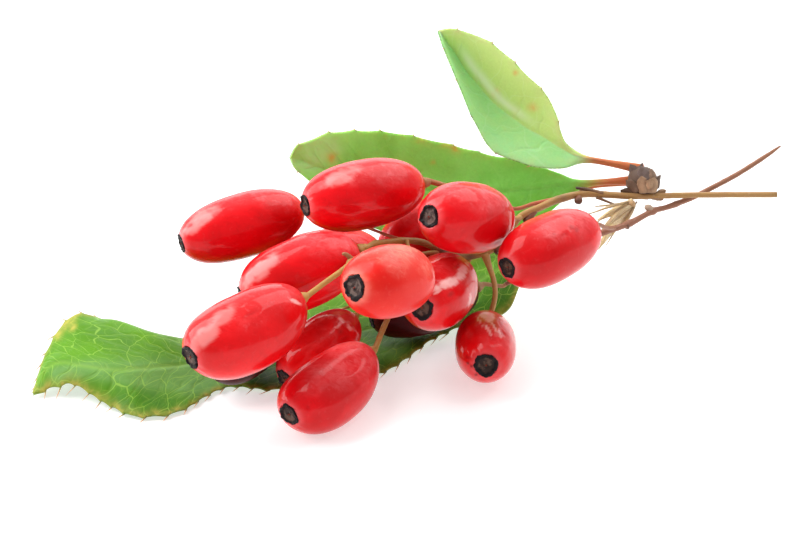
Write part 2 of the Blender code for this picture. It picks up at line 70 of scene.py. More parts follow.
@dataclass(frozen=True)
class Sight:
    """How places that the viewer sees turn into the frame's places."""

    elevation: float = math.radians(24.0)
    height: float = 9.9
    middle_right: float = 1.6
    middle_back: float = 2.3

    def place(self, right: float, up: float, deep: float) -> Vector:
        """Turns a seen place into the frame.

        Args:
            right: millimetres to the right of the view's middle.
            up: millimetres above it.
            deep: millimetres behind it.

        Returns:
            The place in metres.
        """
        back = up * math.sin(self.elevation) + deep * math.cos(self.elevation)
        high = up * math.cos(self.elevation) - deep * math.sin(self.elevation)
        return Vector((right - self.middle_right, back - self.middle_back, high + self.height)) * MM

    def step(self, right: float, up: float, deep: float) -> Vector:
        """Turns a seen step, in millimetres, into the frame's metres."""
        return self.place(right, up, deep) - self.place(0, 0, 0)

    def heading(self, turn: float, lean: float) -> Vector:
        """Gives a direction.

        Args:
            turn: degrees that it is turned in the picture, counted from the right.
            lean: degrees that it leans to the viewer.

        Returns:
            A unit vector of the frame.
        """
        turned, leaned = math.radians(turn), math.radians(lean)
        flat = math.cos(leaned)
        return self.step(math.cos(turned) * flat, math.sin(turned) * flat, -math.sin(leaned)).normalized()

    def seen(self, x: Array | float, y: Array | float, z: Array | float) -> tuple:
        """Turns the frame's millimetres back into millimetres right, up and deep."""
        back, high = y + self.middle_back, z - self.height
        return (x + self.middle_right,
                back * math.sin(self.elevation) + high * math.cos(self.elevation),
                back * math.cos(self.elevation) - high * math.sin(self.elevation))


SIGHT = Sight()


def with_ends(knots: Array) -> Array:
    """Adds a knot before the first one and one past the last, in line with them."""
    return np.concatenate([2 * knots[:1] - knots[1:2], knots, 2 * knots[-1:] - knots[-2:-1]])


def spline(before: Array, a: Array, b: Array, after: Array, f: Array) -> Array:
    """Reads the smooth curve from a to b, a share f of the way, by the knots on both sides."""
    return 0.5 * (2 * a + (b - before) * f + (2 * before - 5 * a + 4 * b - after) * f ** 2
                  + (3 * a - 3 * b + after - before) * f ** 3)


def smooth_curve(knots: Array, t: Array) -> Array:
    """Reads a smooth curve through its knots.

    Args:
        knots: the knots, one in each row.
        t: where to read it, from 0 at the first knot to 1 at the last.

    Returns:
        One row for each value of t.
    """
    spans = len(knots) - 1
    at = np.clip(np.asarray(t, float) * spans, 0, spans - 1e-9)
    i = at.astype(int)
    padded = with_ends(knots)
    f = (at - i).reshape(at.shape + (1,) * (knots.ndim - 1))
    return spline(padded[i], padded[i + 1], padded[i + 2], padded[i + 3], f)


def run_along(points: Array) -> Array:
    """Gives how far along a line each of its points is."""
    return np.concatenate([[0], np.cumsum(np.linalg.norm(np.diff(points, axis=0), axis=1))])


def ease(low: float, high: float, value: Array | float) -> Array | float:
    """Rises smoothly from 0 at low to 1 at high."""
    t = np.clip((value - low) / (high - low), 0.0, 1.0)
    return t * t * (3 - 2 * t)


def bell(distance: Array | float, width: float) -> Array | float:
    """Falls smoothly from 1 at no distance to nearly 0 at twice the width."""
    return np.exp(-(distance / width) ** 2)


def stand(direction: Vector, point: Vector) -> Matrix:
    """Turns +Z to the direction and moves to the point."""
    return Matrix.Translation(point) @ direction.to_track_quat("Z", "Y").to_matrix().to_4x4()


def new_layers(bm: BMesh, *keys: str) -> Layers:
    """Gives the points of a bmesh new numbers, by name."""
    return {key: bm.verts.layers.float.new(key) for key in keys}


def paint(vert: Vert, layers: Layers, **numbers: float) -> None:
    """Sets a point's numbers, by name."""
    for key, number in numbers.items():
        vert[layers[key]] = number


def spin_outline(bm: BMesh, rows: Sequence[Point], layer: Layer, sides: int) -> None:
    """Spins an outline round +Z into a closed form.

    Args:
        bm: where it is made.
        rows: the radius, the height and the layer's number of each point, from one pole to the other.
        layer: the numbers' layer.
        sides: how many steps the spin has.
    """
    chain = []
    for radius, height, number in rows:
        vert = bm.verts.new((radius, 0, height))
        vert[layer] = number
        chain.append(vert)
    for low, high in zip(chain, chain[1:]):
        bm.edges.new((low, high))
    bmesh.ops.spin(bm, geom=bm.verts[:] + bm.edges[:], cent=(0, 0, 0), axis=(0, 0, 1),
                   angle=math.tau, steps=sides, use_merge=True)
    bmesh.ops.remove_doubles(bm, verts=bm.verts, dist=OUTLINE_WELD)


def add_sheet(bm: BMesh, cells: tuple[int, int], thickness: float,
              shape: Callable[[Vert, float, float], None]) -> None:
    """Adds a thin closed sheet.

    Args:
        bm: where it is made.
        cells: how many cells it has along and across.
        thickness: how thick it is, in millimetres.
        shape: places one point, by its share along, 0 to 1, and across, -1 to 1.
    """
    made = bmesh.ops.create_grid(bm, x_segments=cells[0], y_segments=cells[1], size=1)["verts"]
    for vert in made:
        shape(vert, (vert.co.x + 1) / 2, vert.co.y)
    faces = list({face for vert in made for face in vert.link_faces})
    bmesh.ops.solidify(bm, geom=faces, thickness=thickness * MM)


def add_object(name: str, data: bpy.types.ID) -> bpy.types.Object:
    """Adds an object to the scene."""
    made = bpy.data.objects.new(name, data)
    bpy.context.scene.collection.objects.link(made)
    return made


def add_mesh(name: str, bm: BMesh, material: bpy.types.Material) -> bpy.types.Object:
    """Adds an object from a bmesh, which is freed.

    Args:
        name: the object's name.
        bm: its shape.
        material: its finish.

    Returns:
        The object.
    """
    mesh = bpy.data.meshes.new(name)
    bm.to_mesh(mesh)
    bm.free()
    mesh.materials.append(material)
    return add_object(name, mesh)


def add_piece(name: str, bm: BMesh, material: bpy.types.Material, node: str) -> None:
    """Makes a finished piece, which rides on the sprig's body, from a bmesh.

    Args:
        name: the piece's name.
        bm: its shape, already in the frame; it is freed here.
        material: its finish.
        node: the CAD node that it stands for.
    """
    bmesh.ops.recalc_face_normals(bm, faces=bm.faces)
    piece = add_mesh(name, bm, material)
    piece.data.shade_smooth()
    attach(piece, "root")
    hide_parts(node)
    LOG.info("%s: %d faces", name, len(piece.data.polygons))


class Tree:
    """Short ways to lay out the nodes of a material or of a group."""

    def __init__(self, tree: bpy.types.NodeTree) -> None:
        """Starts on a node tree."""
        self.tree = tree

    def fill(self, node: bpy.types.Node, inputs: dict[str | int, object]) -> None:
        """Links sockets into a node's inputs, or sets plain values on them.

        Args:
            node: the node.
            inputs: what goes into each input, by its name or number.
        """
        for key, value in inputs.items():
            target = node.inputs[key]
            if isinstance(value, Socket):
                self.tree.links.new(value, target)
            elif isinstance(value, tuple) and target.type == "RGBA":
                target.default_value = (*value, 1.0)
            else:
                target.default_value = value

    def node(self, kind: str, inputs: dict[str | int, object] | None = None,
             **settings: object) -> bpy.types.bpy_prop_collection:
        """Adds a node.

        Args:
            kind: the node's type, without the words ShaderNode.
            inputs: what goes into its inputs.
            settings: attributes to set on it.

        Returns:
            The node's outputs.
        """
        made = self.tree.nodes.new(f"ShaderNode{kind}")
        for key, value in settings.items():
            setattr(made, key, value)
        self.fill(made, inputs or {})
        return made.outputs

    def attribute(self, name: str) -> Socket:
        """Gives a number that the mesh carries."""
        return self.node("Attribute", attribute_name=name)["Fac"]

    def combined(self, first: str, second: str) -> Socket:
        """Gives coordinates made of two numbers that the mesh carries."""
        return self.node("CombineXYZ", {0: self.attribute(first), 1: self.attribute(second)})[0]

    def calc(self, operation: str, first: object, second: object, held: bool = True) -> Socket:
        """Works out a number from two others, held between 0 and 1 unless held is false."""
        return self.node("Math", {0: first, 1: second}, operation=operation, use_clamp=held)[0]

    def times(self, first: object, second: object, held: bool = True) -> Socket:
        """Multiplies two numbers."""
        return self.calc("MULTIPLY", first, second, held)

    def range(self, value: object, low: object, high: object, start: float = 0.0, end: float = 1.0) -> Socket:
        """Maps a number from low and high to start and end, with soft ends."""
        return self.node("MapRange", {"Value": value, "From Min": low, "From Max": high, "To Min": start,
                                      "To Max": end}, interpolation_type="SMOOTHSTEP")["Result"]

    def mix(self, share: object, first: object, second: object, blend: str = "MIX") -> Socket:
        """Mixes two colours by the second one's share."""
        return self.node("Mix", {0: share, 6: first, 7: second}, data_type="RGBA", blend_type=blend)[2]

    def layered(self, colour: object, *coats: tuple[object, object]) -> object:
        """Lays more colours over a first one, each by its own share."""
        for share, coat in coats:
            colour = self.mix(share, colour, coat)
        return colour

    def noise(self, at: Socket, scale: object, detail: float = 3.0, rough: float = 0.5,
              warp: float = 0.0) -> Socket:
        """Gives soft noise, about 0.5 on average, with so many waves to the metre."""
        return self.node("TexNoise", {"Vector": at, "Scale": scale, "Detail": detail, "Roughness": rough,
                                      "Distortion": warp})["Fac"]

    def stretched(self, at: Socket, scale: Point) -> Socket:
        """Gives coordinates that are stretched by a scale in each direction."""
        return self.node("Mapping", {"Vector": at, "Scale": scale})["Vector"]

    def bump(self, height: Socket, distance: float, strength: float, under: Socket | None = None) -> Socket:
        """Turns a height from 0 to 1, of so many metres, into a normal over another one."""
        below = {} if under is None else {"Normal": under}
        return self.node("Bump", {"Height": height, "Distance": distance, "Strength": strength,
                                  **below})["Normal"]

    def group(self, name: str, **inputs: object) -> bpy.types.bpy_prop_collection:
        """Places a shared node group and gives its outputs."""
        return self.node("Group", inputs, node_tree=bpy.data.node_groups[name])

    def patch(self, at: Socket, scale: float, low: float, high: float) -> Socket:
        """Gives the mask of the shared patches."""
        return self.group("patches", Vector=at, Scale=scale, From=low, To=high)["Mask"]

    def grain(self, at: Socket, scale: float, broad: float) -> Socket:
        """Gives the height of the shared grain."""
        return self.group("grain", Vector=at, Scale=scale, Broad=broad)["Height"]


class Effects:
    """Node groups that several finishes share, each built once."""

    def build(self) -> None:
        """Builds the groups, which the finishes find by name."""
        self._patches()
        self._grain()
        self._net()

    def _open(self, name: str, inputs: dict[str, float | None], outputs: Sequence[str]
              ) -> tuple[Tree, bpy.types.Node, bpy.types.Node]:
        """Starts a node group with named sockets.

        Args:
            name: the group's name.
            inputs: each input's default, or None for coordinates.
            outputs: the names of its numbers.

        Returns:
            Its tree, its input node's outputs and its output node.
        """
        tree = bpy.data.node_groups.new(name, "ShaderNodeTree")
        for key, default in inputs.items():
            kind = "NodeSocketVector" if default is None else "NodeSocketFloat"
            socket = tree.interface.new_socket(name=key, in_out="INPUT", socket_type=kind)
            if default is not None:
                socket.default_value = default
        for key in outputs:
            tree.interface.new_socket(name=key, in_out="OUTPUT", socket_type="NodeSocketFloat")
        return Tree(tree), tree.nodes.new("NodeGroupInput").outputs, tree.nodes.new("NodeGroupOutput")

    def _patches(self) -> None:
        """Soft-edged patches, spread unevenly: a mask from 0 to 1."""
        tree, given, end = self._open(
            "patches", {"Vector": None, "Scale": 400.0, "From": 0.5, "To": 0.6}, ["Mask"])
        wide = tree.noise(given["Vector"], given["Scale"], 4.0, 0.55, 0.4)
        tree.fill(end, {"Mask": tree.range(wide, given["From"], given["To"])})

    def _grain(self) -> None:
        """Fine grain over broad waves: a height from 0 to 1."""
        tree, given, end = self._open("grain", {"Vector": None, "Scale": 3000.0, "Broad": 0.5}, ["Height"])
        fine = tree.noise(given["Vector"], given["Scale"], 2.0, 0.6)
        coarse = tree.noise(given["Vector"], tree.times(given["Scale"], 0.22, False), 2.0)
        both = tree.node("Mix", {0: given["Broad"], 2: fine, 3: coarse}, data_type="FLOAT")
        tree.fill(end, {"Height": both[0]})

    def _net(self) -> None:
        """A net of thin veins round uneven cells: the lines, and the cells' domes."""
        tree, given, end = self._open("net", {"Vector": None, "Scale": 0.4, "Width": 0.03}, ["Line", "Dome"])
        cells = {"Vector": given["Vector"], "Scale": given["Scale"], "Randomness": 0.92}
        away = tree.node("TexVoronoi", cells, voronoi_dimensions="2D", feature="DISTANCE_TO_EDGE")["Distance"]
        half = tree.times(given["Width"], 0.4, False)
        tree.fill(end, {"Line": tree.range(away, half, given["Width"], 1.0, 0.0),
                        "Dome": tree.range(away, 0.0, 0.3)})


@dataclass(frozen=True)
class Finish:
    """A material of the sprig or of its table, laid out by its subclass."""

    name: str

    def material(self) -> bpy.types.Material:
        """Builds the material."""
        made = bpy.data.materials.new(self.name)
        made.use_nodes = True
        tree = Tree(made.node_tree)
        looks = self.surface(tree, tree.node("TexCoord")["Object"])
        tree.fill(made.node_tree.nodes["Principled BSDF"], looks)
        return made

    def surface(self, tree: Tree, at: Socket) -> dict[str, object]:
        """Lays out the nodes.

        Args:
            tree: the material's tree.
            at: the frame's own coordinates, in metres.

        Returns:
            What goes into the shader's sockets, by name.
        """
        raise NotImplementedError


@dataclass(frozen=True)
class SkinFinish(Finish):
    """A ripe berry's waxy skin, with pale bloom that is rubbed off in patches and a painted sheen on the side
    that faces the top light.
    """

    deep: Colour
    clear: Colour
    pale: Colour
    # How strongly the pale bloom and the painted sheen are laid on.
    bloom_and_sheen: float = 0.56
    gloss: float = 0.05
    coat: float = 0.7
    ragged: float = 0.00001
    flesh: Colour = (0.0018, 0.0004, 0.0004)
    # Colour of the painted highlights.
    painted_highlight: Colour = (1.0, 0.66, 0.62)
    # Colour of the skin's dark specks and of the painted shade in pits and creases.
    speck_and_shade_colour: Colour = (0.02, 0.004, 0.004)

    def surface(self, tree: Tree, at: Socket) -> dict[str, object]:
        """Lays out the skin, with Args and Returns as in Finish."""
        # Painted sheen: the pale coat is laid on the side that faces the top light, so that side is painted
        # lighter, broken where the bloom is rubbed off in patches.
        rubbed = tree.patch(at, 420.0, 0.36, 0.62)
        lit_side = tree.attribute("lit_side")
        streak = tree.noise(tree.stretched(at, (1.0, 1.6, 1.0)), 1300.0, 4.0, 0.65, 0.8)
        cloudy = tree.times(tree.range(rubbed, 0.0, 1.0, 0.35, 1.0),
                            tree.range(streak, 0.3, 0.66, 0.45, 1.25), False)
        bloom_and_sheen_mask = tree.times(lit_side, cloudy)
        body = tree.layered(
            tree.mix(tree.patch(at, 210.0, 0.32, 0.7), self.deep, self.clear),
            (tree.times(tree.range(streak, 0.5, 0.34), 0.3), self.deep),
            (tree.times(bloom_and_sheen_mask, self.bloom_and_sheen), self.pale),
            (tree.times(tree.patch(at, 2100.0, 0.55, 0.72), tree.range(lit_side, 0.0, 1.0, 0.05, 0.35)),
             self.pale),
            (tree.times(tree.attribute("crown"), 0.4), self.pale),
            (tree.attribute("speck_and_recess_shade"), self.speck_and_shade_colour),
            (tree.times(tree.attribute("painted_highlight"), tree.range(rubbed, 0.0, 1.0, 0.75, 1.0)), self.painted_highlight))
        rough = tree.bump(tree.grain(at, 4200.0, 0.5), 0.000006, 0.6)
        wave = tree.noise(at, 900.0, 2.0, 0.5, 0.3)
        return {"Base Color": body, "Roughness": tree.range(bloom_and_sheen_mask, 0.0, 1.0, 0.42, 0.6),
                "Coat Weight": tree.range(bloom_and_sheen_mask, 0.0, 1.0, self.coat, self.coat * 0.55),
                "Normal": tree.bump(wave, self.ragged * 4, 0.5, rough),
                "Coat Roughness": self.gloss, "Coat IOR": 1.3, "Specular IOR Level": 0.08,
                "Subsurface Weight": 0.12, "Subsurface Radius": self.flesh, "Subsurface Scale": 1.0}


@dataclass(frozen=True)
class ScarFinish(Finish):
    """A dried flower scar: a near black rim round brown and tan scales."""

    name: str = "scar_crust"
    rim: Colour = (0.010, 0.007, 0.008)
    brown: Colour = (0.026, 0.012, 0.009)
    tan: Colour = (0.1, 0.05, 0.03)
    ash: Colour = (0.17, 0.13, 0.12)
    heart: Colour = (0.24, 0.03, 0.015)

    def surface(self, tree: Tree, at: Socket) -> dict[str, object]:
        """Lays out the crust, with Args and Returns as in Finish."""
        flakes = tree.patch(at, 1500.0, 0.48, 0.6)
        crumbs = tree.patch(at, 2900.0, 0.58, 0.66)
        grain = tree.grain(at, 9000.0, 0.4)
        inside, ash = tree.attribute("inside"), tree.attribute("ash")
        scales = tree.layered(tree.mix(flakes, self.brown, tree.mix(ash, self.tan, self.ash)),
                              (tree.times(ash, tree.range(flakes, 0.0, 1.0, 0.5, 0.9)), self.ash),
                              (tree.times(crumbs, 0.3), self.ash))
        colour = tree.layered(self.rim, (tree.range(inside, 0.25, 0.75), scales),
                              (tree.times(crumbs, 0.08), self.ash),
                              (tree.range(inside, 0.93, 0.98), self.heart))
        return {"Base Color": colour, "Roughness": tree.range(grain, 0.3, 0.7, 0.3, 0.75),
                "Normal": tree.bump(grain, 0.00006, 0.8), "Specular IOR Level": 0.14}


@dataclass(frozen=True)
class BarkFinish(Finish):
    """The thin skin of a stem, from a woody colour to a fresh one, by the stem's own numbers."""

    woody: Colour
    fresh: Colour
    blush: Colour
    dark: Colour = (0.03, 0.018, 0.014)
    pale: Colour = (0.62, 0.55, 0.42)

    def surface(self, tree: Tree, at: Socket) -> dict[str, object]:
        """Lays out the bark, with Args and Returns as in Finish."""
        streaks = tree.noise(tree.stretched(at, (0.3, 1.0, 1.0)), 3800.0, 3.0, 0.6)
        colour = tree.layered(self.woody, (tree.attribute("tone"), self.fresh),
                              (tree.attribute("blush"), self.blush))
        shade = tree.mix(streaks, (0.72, 0.68, 0.66), (1.2, 1.18, 1.15))
        colour = tree.layered(tree.mix(0.75, colour, shade, "MULTIPLY"),
                              (tree.times(tree.patch(at, 900.0, 0.35, 0.65), 0.28), self.woody),
                              (tree.times(tree.patch(at, 4200.0, 0.57, 0.7), 0.14), self.pale),
                              (tree.attribute("pale"), self.pale), (tree.attribute("dark"), self.dark))
        return {"Base Color": colour, "Roughness": tree.range(streaks, 0.25, 0.75, 0.42, 0.66),
                "Normal": tree.bump(tree.grain(at, 7000.0, 0.35), 0.00004, 0.7), "Specular IOR Level": 0.4}


@dataclass(frozen=True)
class LeafFinish(Finish):
    """A leaf's blade, its net of veins, its spines and its stalk, by the numbers of its mesh."""

    deep: Colour
    fresh: Colour
    vein: Colour
    under: Colour
    edge: Colour
    stalk: Colour = (0.5, 0.15, 0.06)
    spine: Colour = (0.62, 0.3, 0.17)
    spot: Colour = (0.5, 0.3, 0.1)
    # Colour of the painted sheen band beside the midrib.
    sheen_band: Colour = (0.75, 0.85, 0.62)
    coarse: float = 2.4
    fine: float = 0.85
    vein_share: float = 0.8
    fine_share: float = 0.35
    glow: float = 0.2
    relief: float = 0.6
    sheen: Colour = (0.3, 0.45, 0.25)

    def surface(self, tree: Tree, at: Socket) -> dict[str, object]:
        """Lays out the leaf, with Args and Returns as in Finish."""
        flat = tree.combined("net_u", "net_v")
        wide = tree.group("net", Vector=flat, Scale=1 / self.coarse, Width=0.032)
        small = tree.group("net", Vector=flat, Scale=1 / self.fine, Width=0.05)
        mottle = tree.patch(at, 1100.0, 0.35, 0.7)
        # The light number paints the lit half of the blade lighter and the shaded half darker.
        tone = tree.calc("ADD", tree.times(tree.patch(at, 150.0, 0.34, 0.66), 0.4), tree.attribute("light"))
        green = tree.layered(self.deep, (tone, self.fresh), (tree.times(mottle, 0.25), self.fresh))
        cells = tree.mix(tree.noise(at, 5200.0, 2.0, 0.6), (0.8, 0.82, 0.78), (1.15, 1.12, 1.1))
        net = tree.calc("MAXIMUM", wide["Line"], tree.times(small["Line"], self.fine_share))
        blade = tree.calc("SUBTRACT", 1.0, tree.attribute("stalk"))
        lines = tree.calc("MAXIMUM", tree.times(net, blade), tree.attribute("vein"))
        colour = tree.layered(
            tree.mix(0.5, green, cells, "MULTIPLY"),
            # The shade number paints sheen: pale patches where light shines on the blade.
            (tree.times(tree.attribute("shade"), tree.range(mottle, 0.0, 1.0, 0.8, 1.0)), self.sheen),
            (tree.times(lines, self.vein_share), self.vein),
            (tree.times(tree.attribute("edge"), tree.range(mottle, 0.1, 0.9, 0.45, 1.0)), self.edge),
            (tree.times(tree.attribute("spots"), tree.range(mottle, 0.0, 0.8, 0.5, 1.0)), self.spot),
            # The sheen band is a painted highlight beside the midrib.
            (tree.attribute("sheen_band"), self.sheen_band), (tree.times(tree.attribute("under"), 0.85), self.under),
            (tree.attribute("stalk"), self.stalk), (tree.attribute("spine"), self.spine))
        domes = tree.bump(tree.times(wide["Dome"], blade), 0.00010, self.relief)
        ripples = tree.bump(tree.times(small["Dome"], blade), 0.00003, self.relief, domes)
        return {"Base Color": colour, "Roughness": tree.range(mottle, 0.0, 1.0, 0.38, 0.52),
                "Normal": tree.bump(tree.grain(at, 9000.0, 0.5), 0.00002, 0.5, ripples),
                "Specular IOR Level": 0.09, "Subsurface Weight": self.glow,
                "Subsurface Radius": (0.0004, 0.0008, 0.00015), "Subsurface Scale": 1.0}


@dataclass(frozen=True)
class ScaleFinish(Finish):
    """Dry plant matter, such as bud scales and bracts: fibres along each piece."""

    pale: Colour
    brown: Colour
    grey: Colour
    glow: float = 0.0

    def surface(self, tree: Tree, at: Socket) -> dict[str, object]:
        """Lays out the dry finish, with Args and Returns as in Finish."""
        fibre = tree.noise(tree.combined("across", "along"), 9.0)
        colour = tree.layered(self.brown, (tree.attribute("tone"), self.pale),
                              (tree.attribute("grey"), self.grey),
                              (tree.times(tree.patch(at, 1700.0, 0.35, 0.68), 0.35), self.brown))
        shade = tree.mix(fibre, (0.5, 0.45, 0.4), (1.35, 1.35, 1.3))
        ridged = tree.bump(fibre, 0.00008, 0.8)
        return {"Base Color": tree.mix(0.8, colour, shade, "MULTIPLY"),
                "Roughness": tree.range(fibre, 0.2, 0.8, 0.5, 0.8),
                "Normal": tree.bump(tree.grain(at, 8000.0, 0.4), 0.00003, 0.5, ridged),
                "Subsurface Weight": self.glow, "Subsurface Radius": (0.0008, 0.0006, 0.0003),
                "Subsurface Scale": 1.0}


@dataclass(frozen=True)
class TableFinish(Finish):
    """The pale table under the sprig, which glows a little so that its shadows stay soft."""

    glow: float = 0.53

    def surface(self, tree: Tree, at: Socket) -> dict[str, object]:
        """Lays out the plain table, with Args and Returns as in Finish."""
        return {"Base Color": (0.6, 0.6, 0.6), "Roughness": 0.7, "Emission Color": (1, 1, 1),
                "Emission Strength": self.glow, "Specular IOR Level": 0.2}


class SkinLook(Enum):
    """How a berry's skin looks, by the record's material slot: how ripe it is, or a painted shaded copy for
    berries deep in shadow.
    """

    RED = "berry_red"
    WET = "berry_wet"
    CORAL = "berry_coral"
    # Painted shade: a near black copy of the red skin for berries that lie in shadow under the others.
    DARK = "berry_dark"


SKINS = {
    SkinLook.RED: SkinFinish("skin_red", (0.58, 0.001, 0.003), (0.8, 0.002, 0.007), (0.85, 0.19, 0.2)),
    SkinLook.WET: SkinFinish("skin_wet", (0.6, 0.001, 0.002), (0.8, 0.002, 0.005), (0.8, 0.14, 0.15),
                             bloom_and_sheen=0.25, gloss=0.03, coat=0.9, ragged=0.00003),
    SkinLook.CORAL: SkinFinish("skin_coral", (0.72, 0.012, 0.008), (0.82, 0.035, 0.02), (0.9, 0.36, 0.27),
                               bloom_and_sheen=0.55, gloss=0.16, coat=0.5),
    # The shaded copy, painted near black.
    SkinLook.DARK: SkinFinish("skin_shaded", (0.04, 0.001, 0.002), (0.09, 0.001, 0.003), (0.2, 0.02, 0.03),
                              bloom_and_sheen=0.1, coat=0.12),
}


class Mark(Enum):
    """A small form on a berry's skin: its width in millimetres, its height, how dark and how much painted
    highlight it has.
    """

    # Pits and creases are painted a little darker, as shade in their hollows; specks are the skin's own dark
    # marks.
    PIT = (0.2, -0.07, 0.35, 0.0)
    BEAD = (0.2, 0.13, 0.0, 0.15)
    DENT = (0.9, -0.16, 0.0, 0.0)
    CREASE = (0.13, -0.08, 0.2, 0.0)
    SPECK = (0.1, 0.05, 1.0, 0.0)
    # Painted highlights: pale streaks and patches that stand in for light shining on the skin; beads carry a
    # little too.
    FILM = (0.42, 0.0, 0.0, 0.75)
    GLINT = (0.12, 0.02, 0.0, 0.6)
    GLEAM = (0.68, 0.0, 0.0, 0.3)


@dataclass(frozen=True)
class Spot:
    """Where a mark lies as seen, in millimetres right and up, with its stretch and turn."""

    mark: Mark
    right: float
    up: float
    stretch: float = 1.0
    turn: float = 0.0

    def share(self, right: float, up: float) -> float:
        """Gives how much of the mark shows at a seen place.

        Args:
            right: the place, in millimetres to the right.
            up: the same, upwards.

        Returns:
            A share from 0 to 1.
        """
        turned = math.radians(self.turn)
        across, rise = right - self.right, up - self.up
        along = (across * math.cos(turned) + rise * math.sin(turned)) / self.stretch
        aside = rise * math.cos(turned) - across * math.sin(turned)
        return math.exp(-(along * along + aside * aside) / self.mark.value[0] ** 2)


def marks(**places: list[tuple[float, ...]]) -> tuple[Spot, ...]:
    """Gathers a berry's spots from the places of each kind of mark."""
    return tuple(Spot(Mark[kind], *place) for kind, rows in places.items() for place in rows)


@dataclass(frozen=True)
class Berry:
    """One berry with the dried flower scar on its free end: its middle, its ways and its sizes."""

    right: float
    up: float
    deep: float
    turn: float
    lean: float
    length: float
    width: float
    scar_radius: float = 0.9
    sag: float = 0.0
    skin_look: SkinLook = SkinLook.RED
    ash: float = 0.2
    spots: tuple[Spot, ...] = ()

    SIDES = 96
    RINGS = 72
    SCAR_SIDES = 64
    STALK_SWELL = 2.25
    FREE_SWELL = 2.6
    ROUND = 2.05
    COLLAR = 1.12
    DIMPLE, DIMPLE_WIDTH = 0.3, 0.6
    CROWN_WIDTH = 0.34
    LUMPS, LUMP_WAVES = 0.014, (0.2, 0.55)
    FINE, FINE_WAVES = 0.008, 1.9
    PUCKER, PUCKERS, PUCKER_WIDTH = 0.02, 9, 0.3
    PROUD = 0.17
    CORNERS = (5, 7)
    FLAKE, FLAKE_WAVES = 0.1, 3.4
    SIGHT_DEPTH = 1.0
    # The way towards the top light, and the range over which the side facing it is painted with pale sheen.
    SHEEN_LIGHT_WAY = Vector((0.42, 0.1, 0.9)).normalized()
    SHEEN_EASE = (0.52, 1.08)

    @property
    def axis(self) -> Vector:
        """The way from the stalk's end to the free end."""
        return SIGHT.heading(self.turn, self.lean)

    @property
    def middle(self) -> Vector:
        """The berry's middle, in the frame."""
        return SIGHT.place(self.right, self.up, self.deep)

    @property
    def sagged(self) -> Vector:
        """How far its waist hangs down, in millimetres of its own axes."""
        return stand(self.axis, self.middle).to_3x3().inverted() @ SIGHT.step(0, -self.sag, 0) / MM

    @property
    def scar_seat(self) -> float:
        """How far the skin's end stands from the middle, in millimetres, where the scar sits."""
        share = min(0.99, self.scar_radius * self.COLLAR / (self.width / 2))
        return self.length / 2 * (1 - share ** self.ROUND) ** (1 / self.FREE_SWELL)

    def hung(self, height: float) -> Vector:
        """Gives how far the berry hangs down at a height along its axis."""
        return self.sagged * (1 - (height / self.length * 2) ** 2)

    def settle(self, bm: BMesh) -> None:
        """Moves a form from the berry's own millimetres into the frame."""
        bmesh.ops.transform(bm, matrix=stand(self.axis, self.middle) @ Matrix.Scale(MM, 4), verts=bm.verts)

    def profile(self) -> list[Point]:
        """Gives the outline that is spun into the berry.

        Returns:
            Points of radius, height and closeness to the scar, from the stalk's end up.
        """
        half, rim, end = self.length / 2, self.scar_radius, self.scar_seat
        points = []
        for i in range(self.RINGS + 1):
            t = math.sin(math.pi * (i / self.RINGS - 0.5))
            if half * t > end - 0.02:
                break
            swell = self.FREE_SWELL if t > 0 else self.STALK_SWELL
            radius = self.width / 2 * max(0.0, 1 - abs(t) ** swell) ** (1 / self.ROUND)
            dimple = self.DIMPLE * bell(radius, self.DIMPLE_WIDTH) if t < 0 else 0.0
            crown = bell(radius - rim * 1.1, self.CROWN_WIDTH) if t > 0 else 0.0
            points.append((radius, half * t + dimple, crown))
        collar = ((self.COLLAR, 0.0), (1.06, 0.02), (1.0, -0.02), (0.93, -0.12), (0.6, -0.16), (0.0, -0.16))
        return points + [(rim * share, end + rise, 1.0) for share, rise in collar]

    def raised(self, point: Vector, seed: float) -> Vector:
        """Moves a point of the plain berry to its uneven skin.

        Args:
            point: the point, in millimetres from the berry's middle.
            seed: a number that sets this berry's lumps apart.

        Returns:
            The moved point.
        """
        away = Vector((point.x, point.y, point.z * self.width / self.length * 0.6)).normalized()
        open_ends = 1 - min(1.0, abs(point.z / self.length * 2)) ** 5
        broad, close = self.LUMP_WAVES
        lump = noise.noise(point * broad + Vector((seed, 0, 0))) + 0.35 * noise.noise(
            point * close + Vector((0, seed, 0)))
        fine = self.FINE * noise.noise(point * self.FINE_WAVES + Vector((0, 0, seed)))
        around = math.atan2(point.y, point.x)
        off = math.hypot(point.x, point.y) - self.scar_radius * 1.35
        near = bell(off, self.PUCKER_WIDTH) * (point.z > 0)
        pucker = self.PUCKER * math.cos(self.PUCKERS * around + 4 * noise.noise(point * 0.8)) * near
        return point + away * (lump * self.LUMPS * self.width * open_ends + fine + pucker)

    def mark(self, vert: Vert, layers: Layers) -> None:
        """Presses the berry's marks into a point of its skin that faces the viewer, and paints their
        highlights there.

        Args:
            vert: the point, already in the frame.
            layers: the skin's number layers.
        """
        right, up, deep = SIGHT.seen(*(vert.co / MM))
        if deep > self.deep + self.SIGHT_DEPTH:
            return
        push = 0.0
        for spot in self.spots:
            _, height, dark, highlighted = spot.mark.value
            share = spot.share(right, up)
            push += height * share
            # The painted highlight gets a torn edge.
            torn = 1 + 0.9 * noise.noise(vert.co * 900) + 0.5 * noise.noise(vert.co * 2600)
            painted_highlight = highlighted * float(ease(0.2, 0.65, share * torn))
            for key, number in (("speck_and_recess_shade", dark * share), ("painted_highlight", painted_highlight)):
                vert[layers[key]] = max(vert[layers[key]], number)
        vert.co += vert.normal * push * MM

